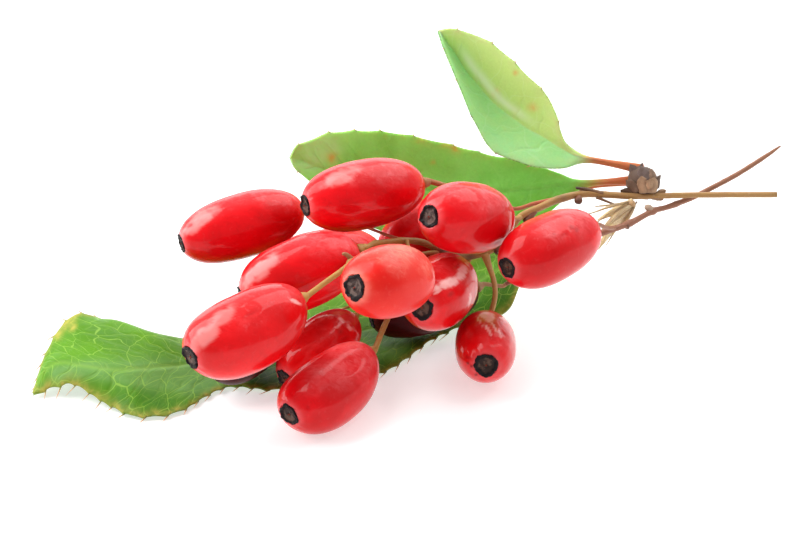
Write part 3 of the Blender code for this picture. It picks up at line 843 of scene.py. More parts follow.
    def skin(self, name: str, seed: float, material: bpy.types.Material, slot: str) -> None:
        """Models the berry's skin.

        Args:
            name: the CAD node that it stands for.
            seed: a number that sets this berry's lumps apart.
            material: its finish.
            slot: the record's material slot; not used.
        """
        bm = bmesh.new()
        layers = new_layers(bm, "crown", "lit_side", "speck_and_recess_shade", "painted_highlight")
        spin_outline(bm, self.profile(), layers["crown"], self.SIDES)
        for vert in bm.verts:
            vert.co = self.raised(vert.co, seed) + self.hung(vert.co.z)
        self.settle(bm)
        bmesh.ops.recalc_face_normals(bm, faces=bm.faces)
        bm.normal_update()
        for vert in bm.verts:
            # How much painted sheen each point gets rises as it faces the top light.
            stray = 0.22 * noise.noise(vert.co * 420 + Vector((seed, 0, 0)))
            vert[layers["lit_side"]] = float(ease(*self.SHEEN_EASE, vert.normal.dot(self.SHEEN_LIGHT_WAY) + stray))
            self.mark(vert, layers)
            vert.co.z = max(vert.co.z, 0.0)
        add_piece(f"{name}_skin", bm, material, name)

    def scar(self, name: str, seed: int, material: bpy.types.Material) -> None:
        """Models the dried flower scar: an uneven rim, a scaly dish and a small heart.

        Args:
            name: the CAD node that it stands for.
            seed: sets this scar's unevenness.
            material: its finish.
        """
        draw = random.Random(seed)
        rim, top, foot = self.scar_radius, self.scar_seat + self.PROUD, self.scar_seat - 0.1
        corners, phase = draw.randint(*self.CORNERS), draw.uniform(0, math.tau)
        wall = ((0.0, 0.0), (0.9, 0.0), (1.0, 0.1))
        dish = ((1.03, -0.1, 0.0), (1.0, -0.02, 0.0), (0.93, 0.02, 0.0), (0.84, 0.0, 0.05),
                (0.76, -0.07, 0.25), (0.68, -0.15, 0.55), (0.6, -0.18, 0.75), (0.52, -0.18, 0.85),
                (0.42, -0.16, 0.85), (0.32, -0.16, 0.85), (0.22, -0.13, 0.85), (0.12, -0.08, 0.9),
                (0.05, -0.07, 1.0), (0.0, -0.07, 1.0))
        bm = bmesh.new()
        layers = new_layers(bm, "inside", "ash")
        rows = [(share * rim, foot + rise, 0.0) for share, rise in wall]
        rows += [(share * rim, top + rise, inner) for share, rise, inner in dish]
        spin_outline(bm, rows, layers["inside"], self.SCAR_SIDES)
        shift = self.hung(self.scar_seat)
        for vert in bm.verts:
            around = math.atan2(vert.co.y, vert.co.x)
            out = math.hypot(vert.co.x, vert.co.y) / rim
            corner = abs(math.cos(corners * around / 2 + phase))
            lobe = 0.12 * (corner - 0.6) + 0.06 * math.cos(3 * around + 2 * phase)
            torn = 0.14 * noise.noise(vert.co * 2.6 + Vector((seed, 0, 0))) + 0.08 * noise.noise(vert.co * 7)
            grow = 1 + (lobe + torn) * ease(0.3, 0.9, out)
            vert.co.x *= grow
            vert.co.y *= grow
            vert[layers["ash"]] = self.ash
            if vert.co.z > foot + 0.13:
                flake = noise.cell(vert.co * self.FLAKE_WAVES) * self.FLAKE * float(ease(0.95, 0.7, out))
                vert.co.z += flake - 0.05 + 0.12 * noise.noise(vert.co * 3.2 + Vector((0, seed, 0)))
            vert.co += shift
        self.settle(bm)
        add_piece(f"{name}_scar", bm, material, name)


@dataclass
class Cluster:
    """All the berries, each at its own place in the sprig."""

    berries: tuple[Berry, ...]
    spread: float = 7.31

    def build(self) -> None:
        """Models and dresses every berry and its scar."""
        skins = {skin_look: finish.material() for skin_look, finish in SKINS.items()}
        crust = ScarFinish().material()
        for number, berry in enumerate(self.berries, 1):
            slot = SkinLook.RED.value if berry.skin_look is SkinLook.WET else berry.skin_look.value
            berry.skin(f"berry_{number:02d}", number * self.spread, skins[berry.skin_look], slot)
            berry.scar(f"stigma_{number:02d}", number, crust)


# The streak, glint and gleam marks on these berries are painted highlights.
CLUSTER = Cluster((
    Berry(-14.1, 4.12, 4.0, 197, 16, 11.8, 5.8, 0.8, ash=0.3, spots=marks(GLEAM=[(-17.74, 4.51, 2.9, 38)])),
    Berry(-3.2, 6.87, 2.0, 192, 24, 11.8, 6.1, 0.92, ash=0.3, spots=marks(GLEAM=[(-5.16, 8.22, 2.6, 24)])),
    Berry(5.88, 4.75, 0.0, 180, 48, 10.5, 6.3, 0.98, ash=0.35, spots=marks(DENT=[(9.6, 4.6, 1.3, 70)],
          CREASE=[(8.6, 2.6, 4.0, 20), (7.3, 2.0, 3.0, -10)], PIT=[(9.9, 5.9)])),
    Berry(13.2, 2.15, 0.4, 204, 37, 11.3, 6.1, 0.88, ash=0.05, spots=marks(PIT=[(14.9, 3.9), (15.4, 3.7)],
          CREASE=[(14.2, 3.2, 3.0, 30), (13.3, 3.3, 2.0, 60)], DENT=[(16.2, 3.4, 1.5, 110)])),
    Berry(-0.93, -0.76, -9.1, 190, 52, 9.6, 6.15, 1.02, 0.0, SkinLook.CORAL, 0.35,
          marks(DENT=[(-2.8, 1.0, 1.4, 60)])),
    Berry(3.48, -1.68, 0.75, 221, 64, 10.3, 6.2, 1.0, 0.0, SkinLook.WET, 0.1,
          marks(DENT=[(5.2, -0.6, 1.6, 60)], PIT=[(4.4, -1.9, 1.6, 40)], CREASE=[(5.0, 0.6, 3.0, 30)],
          FILM=[(4.16, -0.95, 3.4, 22), (5.55, 0.17, 2.0, 62)], GLINT=[(6.07, -2.43, 5, 80),
          (3.3, -1.65, 4, 30), (5.12, -4.34, 4, 35)])),
    Berry(-8.6, -0.15, -1.8, 202, 8, 11.2, 6.3, 0.9, spots=marks(GLEAM=[(-12.07, 0.0, 3.4, 46)])),
    Berry(-12.75, -4.6, -9.5, 208, 30, 11.7, 6.6, 1.0, 0.45, SkinLook.WET, 0.15,
          marks(GLEAM=[(-15.19, -4.56, 3.5, 48)], GLINT=[(-8.58, -2.48, 4, -30)],
          CREASE=[(-12.2, -3.5, 5.0, 32)], DENT=[(-9.9, -3.9, 1.3, 60)])),
    Berry(-6.0, -9.45, -5.4, 216, 40, 10.9, 6.15, 0.94, 0.6, ash=0.1,
          spots=marks(CREASE=[(-7.6, -11.2, 1.6, -60)], DENT=[(-8.4, -9.9, 1.2, 60),
          (-4.0, -7.6, 1.2, 40)])),
    Berry(-7.1, -6.75, 1.0, 222, 33, 9.6, 5.2, 0.9, 0.0, SkinLook.WET, 0.05, marks(BEAD=[(-6.1, -3.95, 1.5),
          (-5.4, -3.9), (-4.6, -4.5), (-4.2, -5.0)], PIT=[(-5.2, -5.2)], CREASE=[(-4.9, -5.8, 3.0, 35)],
          GLINT=[(-7.17, -4.02, 3, 25), (-6.04, -3.85, 3, 5), (-5.16, -4.2, 3, -35),
          (-4.46, -4.9, 2.5, -60), (-5.42, -4.81, 2, 40)])),
    Berry(7.6, -6.53, 2.85, 264, 73, 11.2, 5.45, 1.0, 0.0, SkinLook.WET, 0.1, marks(SPECK=[(6.2, -8.15),
          (5.9, -7.9), (6.6, -8.9)], PIT=[(5.85, -7.4)], CREASE=[(8.3, -4.6, 3.0, -50),
          (9.0, -5.3, 2.6, -60), (7.9, -5.6, 2.4, -55)], BEAD=[(8.4, -5.4)], FILM=[(7.74, -3.87, 1.6, -20)],
          GLINT=[(7.04, -4.4, 4, -65), (7.66, -5.02, 5, -60), (8.27, -4.84, 4, -70),
          (8.71, -5.37, 3, -75)])),
    Berry(-6.9, 0.9, 9.3, 190, 8, 11.0, 6.1),
    Berry(2.75, 3.75, 7.7, 208, 25, 10.8, 5.9),
    # These two berries are painted near black as shade, for they lie in shadow under the others.
    Berry(2.2, -2.85, 8.55, 197, 10, 10.6, 5.6, 0.85, 0.0, SkinLook.DARK),
    Berry(-13.75, -6.75, 0.3, 215, 62, 10.0, 5.4, 0.85, 0.0, SkinLook.DARK),
))


@dataclass(frozen=True)
class Bark:
    """How one tube's skin looks: each a number from 0 to 1, at its start and at its end."""

    tone: Pair = (0.5, 0.5)
    blush: Pair = (0.0, 0.0)
    dark: Pair = (0.0, 0.0)
    pale: Pair = (0.0, 0.0)

    KEYS = ("tone", "blush", "dark", "pale")


@dataclass(frozen=True)
class Node:
    """A swelling round a stem: how far along from 0 to 1, and how much wider it is."""

    along: float
    swell: float
    width: float = 0.012
    dark: float = 0.0


@dataclass(frozen=True)
class Tube:
    """A round length of stem through knots of right, up, deep and radius, in millimetres."""

    knots: tuple[Knot, ...]
    bark: Bark = Bark()
    nodes: tuple[Node, ...] = ()
    berry: int | None = None

    SIDES = 14
    STEP = 0.2
    SEAT = 0.56
    NECK = 0.4
    RUN = 0.75
    SINK = 0.16
    RIDGES, RIDGE = 5, 0.03
    ROUGH, ROUGH_WAVES = 0.09, 1.7

    def path(self) -> Array:
        """Gives the tube's knots in the frame, with the flared seat under its berry.

        Returns:
            Rows of x, y, z and radius, in millimetres.
        """
        rows = [(*(SIGHT.place(*knot[:3]) / MM), knot[3]) for knot in self.knots]
        if self.berry is not None:
            berry = CLUSTER.berries[self.berry - 1]
            width = self.knots[-1][3]
            seat = berry.middle / MM - berry.axis * (berry.length / 2 - self.SINK)
            flare = ((self.RUN, width * 1.05), (self.NECK, width * 1.7), (0.0, self.SEAT * 0.98),
                     (-self.SINK, self.SEAT * 0.8))
            rows += [(*(seat - berry.axis * (self.SINK + back)), radius) for back, radius in flare]
        return np.array(rows)

    def add_to(self, bm: BMesh, seed: float) -> None:
        """Extrudes the tube into a bmesh, ring by ring, and closes its ends.

        Args:
            bm: the stem's bmesh, with its number layers.
            seed: sets this tube's unevenness.
        """
        path = self.path()
        count = max(4, round(run_along(path[:, :3])[-1] / self.STEP))
        t = np.linspace(0, 1, count + 1)
        rows = smooth_curve(path, t)
        ahead = [Vector(way).normalized() for way in np.gradient(rows[:, :3], axis=0)]
        turn = ahead[0].to_track_quat("Z", "Y")
        ring = bmesh.ops.create_circle(bm, segments=self.SIDES, radius=1.0, cap_ends=True)["verts"]
        circle = [vert.co.copy() for vert in ring]
        for i in range(count + 1):
            if i:
                turn = ahead[i - 1].rotation_difference(ahead[i]) @ turn
                ring = self.next_ring(bm, ring)
            self.shape_ring(bm, list(zip(ring, circle)), rows[i], turn, float(t[i]), seed)
        bmesh.ops.contextual_create(bm, geom=ring)

    @staticmethod
    def next_ring(bm: BMesh, ring: list[Vert]) -> list[Vert]:
        """Extrudes a ring.

        Args:
            bm: the stem's bmesh.
            ring: the ring's points, in order.

        Returns:
            The new ring's points, in the same order.
        """
        order = {vert: k for k, vert in enumerate(ring)}
        edges = list({edge for vert in ring for edge in vert.link_edges if edge.other_vert(vert) in order})
        made = bmesh.ops.extrude_edge_only(bm, edges=edges)["geom"]
        place = {vert: next(order[edge.other_vert(vert)] for edge in vert.link_edges
                            if edge.other_vert(vert) in order)
                 for vert in made if isinstance(vert, Vert)}
        return sorted(place, key=place.get)

    def shape_ring(self, bm: BMesh, ring: list[tuple[Vert, Vector]], row: Array,
                   turn: Quaternion, t: float, seed: float) -> None:
        """Places one ring of the tube and sets its looks.

        Args:
            bm: the stem's bmesh, with its number layers.
            ring: each of the ring's points, with its place on a plain circle.
            row: the ring's middle and radius.
            turn: how the ring is turned.
            t: how far along the tube it is.
            seed: sets this tube's unevenness.
        """
        radius = row[3] * (1 + sum(node.swell * bell(t - node.along, node.width) for node in self.nodes))
        darker = float(sum(node.dark * bell(t - node.along, node.width * 1.6) for node in self.nodes))
        middle = Vector(row[:3])
        for vert, plain in ring:
            out = turn @ plain
            ridge = self.RIDGE * math.cos(self.RIDGES * math.atan2(plain.y, plain.x) + seed)
            at = (middle + out * radius) * self.ROUGH_WAVES + Vector((seed, 0, 0))
            vert.co = (middle + out * radius * (1 + ridge + self.ROUGH * noise.noise(at))) * MM
            for key in Bark.KEYS:
                start, end = getattr(self.bark, key)
                more = darker if key == "dark" else 0.0
                vert[bm.verts.layers.float[key]] = start + (end - start) * t + more


RUSTY = Bark(tone=(0.35, 0.35), blush=(0.15, 0.15))
OLIVE = Bark(tone=(0.75, 1.0))
RED_STALK = Bark(tone=(0.3, 0.5), blush=(0.9, 0.5))
BLACK_STUB = Bark(tone=(0.2, 0.2), dark=(0.95, 0.3))
DARK_BUD = Bark(tone=(0.1, 0.1), blush=(0.3, 0.3), dark=(0.45, 0.8))


@dataclass
class Stem:
    """One stem with its stalks, as closed tubes that are rooted in each other."""

    name: str
    slot: str
    tubes: tuple[Tube, ...]
    finish: BarkFinish
    seed: float

    def build(self) -> None:
        """Models and dresses the stem."""
        bm = bmesh.new()
        new_layers(bm, *Bark.KEYS)
        for number, tube in enumerate(self.tubes):
            tube.add_to(bm, self.seed + number * 2.7)
        add_piece(f"{self.name}_bark", bm, self.finish.material(), self.name)


UPPER_STEM = Stem("stem_upper", "stem_tan", (
    Tube(((34.6, 7.1, 8.5, 0.27), (27.6, 7.1, 9.3, 0.27), (21.6, 7.0, 9.7, 0.3), (17.2, 7.2, 9.4, 0.34),
         (14.7, 6.7, 8.6, 0.34), (12.8, 5.9, 7.6, 0.33), (10.9, 5.0, 6.8, 0.31), (9.9, 3.6, 6.2, 0.28),
         (9.0, 2.6, 6.2, 0.28), (7.9, 1.8, 6.4, 0.3), (6.5, 1.5, 6.8, 0.28), (4.9, 1.5, 6.0, 0.26),
         (3.7, 1.9, 4.7, 0.28), (2.1, 2.6, 3.4, 0.26), (0.6, 2.8, 2.6, 0.25), (-0.7, 2.7, 1.6, 0.24),
         (-2.2, 2.5, 0.0, 0.24)), Bark(tone=(0.45, 0.9)), (Node(0.2, 0.1, 0.012, 0.3),
         Node(0.42, 0.3, 0.012, 0.3), Node(0.5, 0.4, 0.016, 0.5), Node(0.55, 0.3, 0.03, 0.35),
         Node(0.6, 0.35, 0.012, 0.55), Node(0.66, 0.22, 0.03, 0.3), Node(0.72, 0.25), Node(0.8, 0.18),
         Node(0.87, 0.2)), 7),
    Tube(((0.6, 2.8, 2.6, 0.16), (-0.9, 3.2, 3.4, 0.14), (-2.7, 3.9, 4.6, 0.14), (-5.0, 4.8, 5.4, 0.14)),
         RED_STALK, berry=1),
    Tube(((14.3, 6.7, 8.5, 0.2), (12.4, 6.3, 8.7, 0.19), (10.4, 5.8, 8.4, 0.19), (7.9, 6.5, 7.2, 0.2),
         (5.4, 7.35, 5.6, 0.25)), Bark(tone=(0.4, 0.6), blush=(1.0, 0.1)), berry=2),
    Tube(((10.9, 5.0, 6.8, 0.2), (10.8, 4.9, 5.8, 0.18)), OLIVE, berry=3),
    Tube(((0.6, 2.8, 2.6, 0.18), (0.75, 2.2, 0.9, 0.16), (1.3, 1.3, -1.4, 0.16), (2.2, 0.25, -3.4, 0.17)),
         OLIVE, berry=5),
    Tube(((6.5, 1.5, 6.8, 0.2), (6.2, 0.9, 6.9, 0.18)), OLIVE, berry=6),
    Tube(((3.7, 1.9, 4.7, 0.2), (1.5, 1.5, 2.4, 0.2), (-0.9, 0.9, -0.2, 0.21), (-2.9, 0.85, -2.6, 0.22),
         (-4.1, 1.05, -3.8, 0.26), (-4.6, 0.4, -4.6, 0.24), (-6.5, -1.0, -5.6, 0.24)), OLIVE, berry=8),
    Tube(((4.2, 1.7, 5.4, 0.2), (2.6, 1.2, 4.8, 0.18), (0.9, -0.5, 4.8, 0.2), (0.2, -2.3, 3.4, 0.22),
         (-0.8, -3.6, 1.9, 0.24), (-1.45, -4.9, 0.3, 0.26)), OLIVE, berry=9),
    Tube(((0.2, -2.3, 3.4, 0.16), (-0.7, -3.0, 4.2, 0.15), (-2.2, -3.5, 4.4, 0.16)), OLIVE, berry=10),
    Tube(((7.7, 1.7, 6.4, 0.28), (8.1, 0.5, 6.6, 0.25), (8.55, -0.8, 7.2, 0.24), (8.7, -2.2, 8.2, 0.24),
         (8.4, -3.6, 9.1, 0.25)), OLIVE, (Node(0.0, 0.5, 0.1),), 11),
    Tube(((4.9, 1.5, 6.0, 0.18), (4.7, 0.85, 7.3, 0.15), (3.7, 0.52, 8.9, 0.15), (1.6, 0.6, 10.3, 0.15)),
         OLIVE, berry=12),
    Tube(((10.4, 5.8, 8.4, 0.15), (9.5, 6.4, 9.6, 0.15)), OLIVE, berry=13),
    Tube(((-0.6, -2.9, 4.1, 0.14), (-2.5, -2.7, 5.2, 0.13), (-4.8, -3.2, 5.8, 0.13),
         (-7.4, -4.5, 6.6, 0.13), (-10.0, -5.2, 6.2, 0.13)), OLIVE, berry=15),
    Tube(((16.2, 7.75, 9.1, 0.12), (17.3, 7.6, 9.3, 0.17), (18.7, 7.2, 9.5, 0.24)), BLACK_STUB),
    Tube(((18.1, 6.9, 9.4, 0.16), (19.8, 6.25, 9.5, 0.09), (21.3, 6.0, 9.6, 0.09), (21.9, 6.5, 9.5, 0.07)),
         Bark(tone=(0.2, 0.2), dark=(0.4, 0.5))),
    Tube(((16.5, 7.0, 9.0, 0.2), (16.4, 6.6, 8.8, 0.4), (16.3, 6.3, 8.7, 0.25)), DARK_BUD),
    Tube(((12.3, 5.6, 7.4, 0.3), (11.6, 4.75, 7.1, 0.38), (11.4, 4.5, 7.0, 0.28)), DARK_BUD),
    Tube(((9.0, 2.6, 6.2, 0.3), (8.9, 2.1, 5.8, 0.42), (8.7, 1.7, 5.6, 0.26)), DARK_BUD),
    Tube(((-4.1, 1.05, -3.8, 0.26), (-4.6, 1.5, -4.2, 0.18), (-4.9, 1.55, -4.4, 0.12)),
         Bark(tone=(0.3, 0.3))),
), BarkFinish("bark_tan", (0.3, 0.14, 0.075), (0.46, 0.29, 0.06), (0.5, 0.09, 0.04)), 1.0)

LOWER_STEM = Stem("stem_lower", "stem_rust", (
    Tube(((9.8, -1.1, 10.1, 0.2), (11.3, -0.4, 9.6, 0.21), (13.8, 1.5, 8.4, 0.22), (16.4, 2.7, 7.3, 0.24),
         (18.5, 3.6, 7.0, 0.27), (20.9, 4.4, 8.2, 0.28), (23.3, 5.6, 9.4, 0.27), (24.7, 6.0, 9.9, 0.26),
         (26.6, 6.7, 9.95, 0.26), (28.3, 7.5, 10.0, 0.25), (31.3, 9.1, 10.2, 0.24), (34.0, 10.8, 10.4, 0.2),
         (35.3, 11.7, 10.5, 0.08)), Bark(tone=(0.1, 0.25)), (Node(0.33, 0.15), Node(0.42, 0.25),
         Node(0.5, 0.4), Node(0.62, 0.15))),
    Tube(((9.8, -1.1, 10.1, 0.2), (9.4, -1.3, 10.1, 0.19)), OLIVE, berry=14),
    Tube(((19.6, 4.0, 7.5, 0.22), (18.7, 4.0, 5.7, 0.2)), RUSTY, berry=4),
    Tube(((23.3, 5.6, 9.4, 0.3), (22.9, 5.9, 9.3, 0.34), (22.6, 6.0, 9.2, 0.2)), Bark(tone=(0.2, 0.2),
         pale=(0.4, 0.4))),
    Tube(((20.9, 4.4, 8.2, 0.28), (20.7, 4.1, 8.0, 0.3)), Bark(tone=(0.1, 0.1), dark=(0.4, 0.4))),
), BarkFinish("bark_rust", (0.26, 0.095, 0.06), (0.42, 0.27, 0.13), (0.4, 0.1, 0.06)), 40.0)


@dataclass(frozen=True)
class Margin:
    """A leaf's toothed edge: scalloped bites between teeth, each tooth with a bristle."""

    pitch: float
    bite: float
    bristle: float
    from_tip: float
    toward_stalk: float


@dataclass
class Leaf:
    """A curved leaf, by lines from its tip to its stalk in millimetres."""

    name: str
    slot: str
    lines: tuple[tuple[Point, ...], ...]
    rib: float
    margin: Margin
    finish: LeafFinish
    stalk_from: float
    fold: float = 0.2
    along: int = 300
    across: int = 80
    # How light the blade is painted on its shaded half and on its lit half.
    light: Pair = (0.0, 0.0)
    step: float = 0.5
    edge: Pair = (0.0, 0.0)
    blots: tuple[Point, ...] = ()
    # Spots of painted sheen, as right, up and width.
    sheen_spots: tuple[Point, ...] = ()
    sheen_band: float = 0.0
    rib_share: float = 0.9
    seed: int = 1

    TIP_SHARE = 0.5
    THICKNESS = 0.3
    STALK_THICKNESS = 0.75
    UPPER_RELIEF = (-0.07, -0.09)
    LOWER_RELIEF = (0.08, 0.26)
    TOOTH_SPACING = (0.72, 1.28)
    DEEPEST_BITE = 0.3
    RIB = 0.28
    RIM = 0.7
    SIDE_VEIN = 0.11
    SIDE_PITCH = 2.6
    SLANT = math.radians(42)
    BRISTLE_RINGS = 4
    BRISTLE_SIDES = 6
    BRISTLE_ROOT = 0.25
    BRISTLE_RADII = (0.075, 0.012)
    CARRIED = ("vein", "edge", "light", "stalk", "spots", "shade", "sheen_band", "net_u", "net_v")

    def surface(self, s: Array, c: Array) -> Array:
        """Gives points of the leaf's middle surface.

        Args:
            s: how far along each station is, from 0 at the tip to 1.
            c: how far across each point is, one row to a station.

        Returns:
            The points, in millimetres, one row to a station.
        """
        knots = np.array([[tuple(SIGHT.place(*point) / MM) for point in line] for line in self.lines])
        lines = smooth_curve(knots.transpose(1, 0, 2), s).swapaxes(0, 1)
        spans = len(lines) - 1
        at = np.clip(c * spans, 0, spans - 1e-9)
        i, row = at.astype(int), np.arange(len(s))[:, None]
        f = (at - i)[..., None]
        padded = with_ends(lines)
        before, a, b, after = (padded[i + k, row] for k in range(4))
        return spline(before, a, b, after, f) * (1 - self.fold) + (a + (b - a) * f) * self.fold

    def teeth(self, edge: Array, draw: random.Random) -> list[float]:
        """Spaces the teeth along one edge.

        Args:
            edge: the edge's points, in millimetres.
            draw: the leaf's random numbers.

        Returns:
            Each tooth's place, in millimetres along the edge from the tip.
        """
        places, at = [], self.margin.from_tip
        end = run_along(edge)[-1] * self.margin.toward_stalk
        while at < end:
            places.append(at)
            at += self.margin.pitch * draw.uniform(*self.TOOTH_SPACING)
        return places

    def bites(self, edge: Array, teeth: list[float], room: Array) -> Array:
        """Gives how far the edge is bitten in, between its teeth.

        Args:
            edge: the edge's points, in millimetres.
            teeth: each tooth's place along it.
            room: the leaf's width at each point.

        Returns:
            The share of the width that is bitten off at each point.
        """
        run = run_along(edge)
        depth = np.zeros(len(run))
        for low, high in zip(teeth, teeth[1:]):
            hollow = np.sin(math.pi * np.clip((run - low) / (high - low), 0, 1) ** 0.8) ** 0.75
            deep = self.margin.bite * min(1.0, (high - low) / 1.6)
            depth += np.where((run > low) & (run < high), hollow * deep, 0)
        return np.minimum(depth / room, self.DEEPEST_BITE)

    def build(self) -> None:
        """Models and dresses the leaf."""
        draw = random.Random(self.seed)
        u, flat = (np.linspace(0, 1, count + 1) for count in (self.along, self.across))
        s = u * (self.TIP_SHARE + (1 - self.TIP_SHARE) * u)
        plain = self.surface(s, np.tile(flat, (len(s), 1)))
        room = np.maximum(np.linalg.norm(np.diff(plain, axis=1), axis=2).sum(axis=1), 0.05)
        teeth = [self.teeth(plain[:, column], draw) for column in (0, -1)]
        near, far = (self.bites(plain[:, column], teeth[column], room) for column in (0, -1))
        c = near[:, None] + flat[None, :] * (1 - near - far)[:, None]
        middle = self.surface(s, c)
        bm = bmesh.new()
        layers = new_layers(bm, *self.CARRIED, "under", "spine")
        self.add_blade(bm, middle, self.fields(s, c, middle), layers)
        for column in (0, -1):
            run = run_along(plain[:, column])
            for place in teeth[column]:
                self.add_bristle(bm, middle, int(np.searchsorted(run, place)), column, draw, layers["spine"])
        for vert in bm.verts:
            vert.co.z = max(vert.co.z, 0.0)
        add_piece(f"{self.name}_blade", bm, self.finish.material(), self.name)

    def fields(self, s: Array, c: Array, middle: Array) -> dict[str, Array]:
        """Works out the numbers that shape and colour the leaf at each point.

        Args:
            s: how far along each station is.
            c: how far across each point is.
            middle: the points of the middle surface.

        Returns:
            The numbers by name, one row to a station.
        """
        run = run_along(self.surface(s, np.full((len(s), 1), self.rib))[:, 0])[:, None]
        walk = np.array([run_along(row) for row in middle])
        out = walk - np.array([[np.interp(self.rib, *pair)] for pair in zip(c, walk)])
        size, share = np.abs(out), s[:, None] + 0 * out
        warp = np.array([[noise.noise(Vector((x * 0.7, y * 0.7, self.seed + more))) for more in (0, 9)]
                         for x, y in np.stack([run + 0 * out, out], axis=-1).reshape(-1, 2)])
        near = run + 0.7 * warp[:, 0].reshape(out.shape)
        far = size + 0.5 * warp[:, 1].reshape(out.shape)
        beat = (near + far * 0.75 + 1.3 * (out > 0)) / self.SIDE_PITCH
        rim = np.minimum(walk, walk[:, -1:] - walk)
        blade = 1 - ease(self.stalk_from - 0.06, self.stalk_from, share)
        side = bell((beat - np.round(beat)) * self.SIDE_PITCH, self.SIDE_VEIN)
        side *= ease(0.4, 1.6, rim) * (1 - ease(2.0, 6.0, size) * 0.6) * blade
        rib = bell(out, self.RIB) * ease(0.0, 1.5, run)
        right, up, _ = SIGHT.seen(*np.moveaxis(middle, -1, 0))
        # The blots are the leaf's own spots; the sheen spots paint light onto the blade.
        spots, shade = (sum((bell(np.hypot(right - x, up - y), wide) for x, y, wide in group), 0 * out)
                        for group in (self.blots, self.sheen_spots))
        half = ease(0.5 - self.step, 0.5 + self.step, np.clip(c - self.rib + 0.5, 0, 1))
        return {
            "rib": rib * blade, "side": side, "blade": blade,
            "net_u": near * math.cos(self.SLANT) + far * math.sin(self.SLANT),
            "net_v": (far * math.cos(self.SLANT) - near * math.sin(self.SLANT)) / 1.5 + 300.0 * (out > 0),
            "vein": np.clip(self.rib_share * rib + 0.35 * side, 0, 1) * blade,
            "edge": bell(rim, self.RIM) * blade * np.where(c < 0.5, *self.edge),
            # Painted light: one half of the blade lighter as if lit, the other darker as if shaded.
            "light": self.light[0] + (self.light[1] - self.light[0]) * half,
            # A painted highlight along one side of the midrib, where the fold catches the light.
            "sheen_band": self.sheen_band * bell(out - 0.95, 0.5) * ease(0.12, 0.25, share) * ease(0.62, 0.45, share),
            "stalk": ease(self.stalk_from - 0.03, self.stalk_from + 0.1, share),
            "spots": np.clip(spots, 0, 1), "shade": np.clip(shade, 0, 1),
        }

    def add_blade(self, bm: BMesh, middle: Array, fields: dict[str, Array], layers: Layers) -> None:
        """Adds the blade as two shells that meet at its edge, with its veins in relief.

        Args:
            bm: the leaf's bmesh.
            middle: the points of the middle surface.
            fields: the numbers at each point.
            layers: the leaf's number layers.
        """
        normal = np.cross(np.gradient(middle, axis=0), np.gradient(middle, axis=1))
        size = np.linalg.norm(normal, axis=2, keepdims=True)
        normal = np.where(size > 1e-9, normal / np.maximum(size, 1e-9), (0, 0, 1.0))
        span = np.abs(np.linspace(-1, 1, self.across + 1))[None, :]
        blade, rib, side = fields["blade"], fields["rib"], fields["side"]
        closed = blade * np.sqrt(1 - span ** 14) + (1 - blade) * np.sqrt(1 - span ** 2)
        thick = (self.THICKNESS * blade + self.STALK_THICKNESS * (1 - blade)) / 2
        over, under = (thick + on_side * side + on_rib * rib
                       for on_side, on_rib in (self.UPPER_RELIEF, self.LOWER_RELIEF))
        shells = [(middle + normal * (way * closed)[..., None]) * MM for way in (over, -under)]
        for number, shell in enumerate(shells):
            made = bmesh.ops.create_grid(bm, x_segments=self.along, y_segments=self.across, size=1)["verts"]
            for vert in made:
                i = round((vert.co.x + 1) / 2 * self.along)
                j = round((vert.co.y + 1) / 2 * self.across)
                vert.co = Vector(shell[i, j])
                vert.co.z = max(vert.co.z, 0.0)
                numbers = {key: float(fields[key][i, j]) for key in self.CARRIED}
                paint(vert, layers, under=float(number), **numbers)
        bmesh.ops.remove_doubles(bm, verts=bm.verts, dist=WELD)

    def add_bristle(self, bm: BMesh, middle: Array, k: int, column: int, draw: random.Random,
                    spine: Layer) -> None:
        """Adds one bristle on a tooth.

        Args:
            bm: the leaf's bmesh.
            middle: the points of the middle surface.
            k: the station that the tooth is at.
            column: the edge that it is on, 0 or -1.
            draw: the leaf's random numbers.
            spine: the layer that says how much of a spine a point is.
        """
        k = min(max(k, 2), len(middle) - 3)
        root = Vector(middle[k, column])
        away = (root - Vector(middle[k, 4 if column == 0 else -5])).normalized()
        ahead = Vector(middle[k - 2, column] - middle[k + 2, column]).normalized()
        way = (away * draw.uniform(0.7, 1.0) + ahead * draw.uniform(0.35, 0.9)).normalized()
        bend = ahead * draw.uniform(-0.1, 0.25)
        reach = self.margin.bristle * draw.uniform(0.75, 1.25) + self.BRISTLE_ROOT
        wide, fine = self.BRISTLE_RADII
        rings = []
        for step in range(self.BRISTLE_RINGS + 1):
            u = step / self.BRISTLE_RINGS
            here = root - way * self.BRISTLE_ROOT + way * reach * u + bend * u * u
            made = bmesh.ops.create_circle(
                bm, cap_ends=step in (0, self.BRISTLE_RINGS), segments=self.BRISTLE_SIDES,
                radius=(wide + (fine - wide) * u) * MM, matrix=stand(way, here * MM))["verts"]
            for vert in made:
                vert[spine] = float(ease(0.05, 0.5, u))
            rings.append({edge for vert in made for edge in vert.link_edges})
        for low, high in zip(rings, rings[1:]):
            bmesh.ops.bridge_loops(bm, edges=list(low | high))


def spots_between(start: Point, end: Point, count: int) -> tuple[Point, ...]:
    """Spreads spots of right, up and width evenly from one to another."""
    return tuple(tuple(row) for row in np.linspace(start, end, count))


